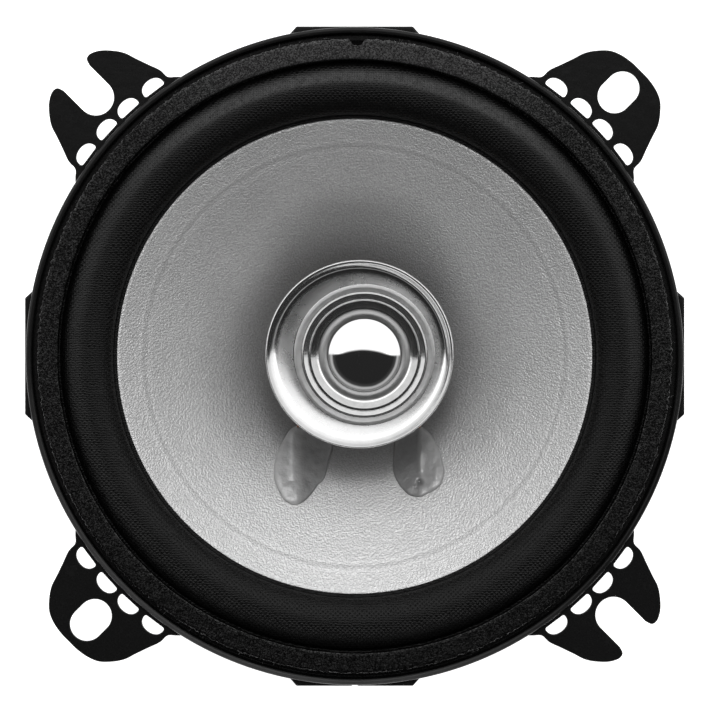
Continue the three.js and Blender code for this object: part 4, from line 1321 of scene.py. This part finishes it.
def add_terminals():
    board = rounded([(-12, -39.5), (12, -39.5), (12, -31.2), (-12, -31.2)], 0.5, 6, False)
    mesh = plate([board], 21.05, BOARD_TOP_Z, 0.12)
    piece = finished("terminal_board_plate", mesh, phenolic(), ["terminal_board"])
    flat_shaded_planes(piece)
    brass = tinned_brass()
    for name, x, width in (("positive", -TERMINAL_X, 4.8), ("negative", TERMINAL_X, 2.8)):
        half = width / 2
        blade = rounded([
            (x - 3, BOARD_Y + 2.8, 0.5), (x - 3, -38.6, 0.3), (x - half, -39.2, 0.3),
            (x - half, -44.6, 0.2), (x - half + 0.6, -45.6, 0.2), (x + half - 0.6, -45.6, 0.2),
            (x + half, -44.6, 0.2), (x + half, -39.2, 0.3), (x + 3, -38.6, 0.3),
            (x + 3, BOARD_Y + 2.8, 0.5),
        ], 0.3, 4, False)
        dimple = circle(0.55, 24, (x, -42.6))
        mesh = plate([blade, dimple], TAG_Z - TAG_THICKNESS, TAG_Z, 0.1)
        piece = finished(f"terminal_{name}_blade", mesh, brass, [f"terminal_{name}"])
        flat_shaded_planes(piece)
        rivet = rivet_outline(1.2, 2.0, TAG_Z - 1.1, BOARD_TOP_Z + 0.05, 0.6)
        lathed(f"terminal_rivet_{name}_head", rivet, 48, brass, f"terminal_rivet_{name}",
               (x, BOARD_Y))
    rivet = rivet_outline(1.2, 2.1, 20.65, LEDGE_Z + 0.05, 0.8)
    plated = zinc("board_rivet_zinc")
    lathed("board_rivet_head", rivet, 48, plated, "board_rivet", (0, BOARD_Y))


CAPACITOR = (0.0, -33.5, 10.2)
CAPACITOR_HALF = 5.75


def lying(points, centre):
    """A shape turned about Z, laid down along X at centre."""
    x, y, z = np.asarray(points).T
    return np.stack([centre[0] + z, centre[1] + y, centre[2] - x], -1)


def add_capacitor():
    half, radius = CAPACITOR_HALF, 3.15
    outline = rounded([
        (0, -half), (2.3, -half, 0.05), (radius - 0.35, -half, 0.2), (radius, 0.35 - half, 0.3),
        (radius, half - 2.1, 0.3), (radius - 0.45, half - 1.5, 0.35), (radius, half - 0.9, 0.3),
        (radius, half - 0.3, 0.25), (radius - 0.4, half, 0.2), (2.3, half, 0.05), (0, half),
    ], 0.2, 5)
    points, faces = lathe(outline, 96)
    mesh = mesh_of(lying(points, CAPACITOR), faces)
    finished("capacitor_sleeved_can", mesh, sleeve(), ["crossover_capacitor"])


def braided(path, strand_radius, strands, turns, body_radius):
    """Strands laid round a common path like a cord."""
    sides, ups = carried(path)
    share = np.linspace(0, 1, len(path))
    parts = []
    for k in range(strands):
        angle = TAU * (k / strands + turns * share)
        offset = body_radius * (np.cos(angle)[:, None] * sides + np.sin(angle)[:, None] * ups)
        parts.append(swept(path + offset, circle(strand_radius, 7)))
    return merged(parts)


def add_tinsel(side, material):
    sign, x, y = math.copysign(1, LEAD_X[side]), LEAD_X[side], -19.3
    top = float(cone_height(math.hypot(x, y))) - CONE_THICKNESS - 0.9
    route = [
        (x, y, top + 0.5), (x + sign * 0.4, -20.6, top - 3.6), (sign * 11.2, -25.2, 27.9),
        (sign * 11.6, -30.6, 27.8), (sign * 10.6, -34.4, 25.6), (sign * 8.4, BOARD_Y, 23.4),
    ]
    path = smooth_curve(route, 110)
    mesh = mesh_of(*braided(path, 0.19, 5, 9, 0.24))
    piece = finished(f"tinsel_{side}", mesh, material, [f"tinsel_lead_{side}"], None, sharp=70)

    def follows(found):
        nearest = [np.argmin(((path - point)**2).sum(axis=1)) for point in found]
        return 1 - smoothstep(np.array(nearest) / (len(path) - 1), 0.06, 0.86)

    bending(piece, follows)


def post_run(x):
    return [(x, -31.0, 2.6), (x, -29.2, 1.25), (x, -20, 1.2), (x, -8, 1.2), (x, -1.4, 1.35), (x, -0.1, 2.8),
            (x, 0, 8), (x, 0, 22), (x, 0, 37), (x, 0, HOUSING_Z + 1)]


def add_leads():
    cx, cy, cz = CAPACITOR
    end = CAPACITOR_HALF + 0.3
    tag = TAG_Z - TAG_THICKNESS - 0.6
    red = jacket("red_pvc", (0.18, 0.008, 0.006), (0.32, 0.02, 0.014))
    black = jacket("black_pvc", (0.008, 0.008, 0.009), (0.022, 0.022, 0.024))
    positive = [
        (cx - end, cy, cz), (-7.6, cy + 0.2, cz - 1.6), (-6.4, -32.2, 4.8), (-2.4, -31.9, 3.4),
        *post_run(-0.75),
    ]
    negative = [
        (TERMINAL_X, BOARD_Y, tag), (8.9, -35.0, 14.5), (8.4, -33.8, 8.2), (6.2, -32.2, 4.2),
        (2.4, -31.9, 3.4), *post_run(0.75),
    ]
    capacitor = [
        (cx + end, cy, cz), (6.9, cy - 0.6, cz + 1.0), (5.6, -37.4, 15.6), (-2.0, -37.2, 17.2),
        (-7.6, -35.9, 18.2), (-TERMINAL_X, BOARD_Y, tag),
    ]
    for name, route, radius, material, slot in (
        ("tweeter_lead_positive", positive, WIRE_R, red, "red_jacket"),
        ("tweeter_lead_negative", negative, WIRE_R, black, "black_jacket"),
        ("capacitor_lead", capacitor, 0.3, bare_tin(), "tinned_wire"),
    ):
        mesh = mesh_of(*swept(smooth_curve(route, 260), circle(radius, 16)))
        finished(f"{name}_wire", mesh, material, [name], sharp=60)


# --- the whole ---

bpy.context.scene.view_settings.view_transform = "Standard"
add_camera()
add_floor()
add_basket()
add_gasket()
add_motor()
painted = [add_cone()]
add_surround()
add_spider()
add_coil()
resin = glue_resin()
copper = enamelled_copper()
braid = tinned_braid()
for side in ("left", "right"):
    painted.append(add_glue(side, resin))
    add_coil_lead(side, copper)
    add_tinsel(side, braid)
add_dish()
add_face_ring()
add_dome()
add_suspension()
add_tweeter_inside()
add_terminals()
add_capacitor()
add_leads()
add_light(painted)
add_world()
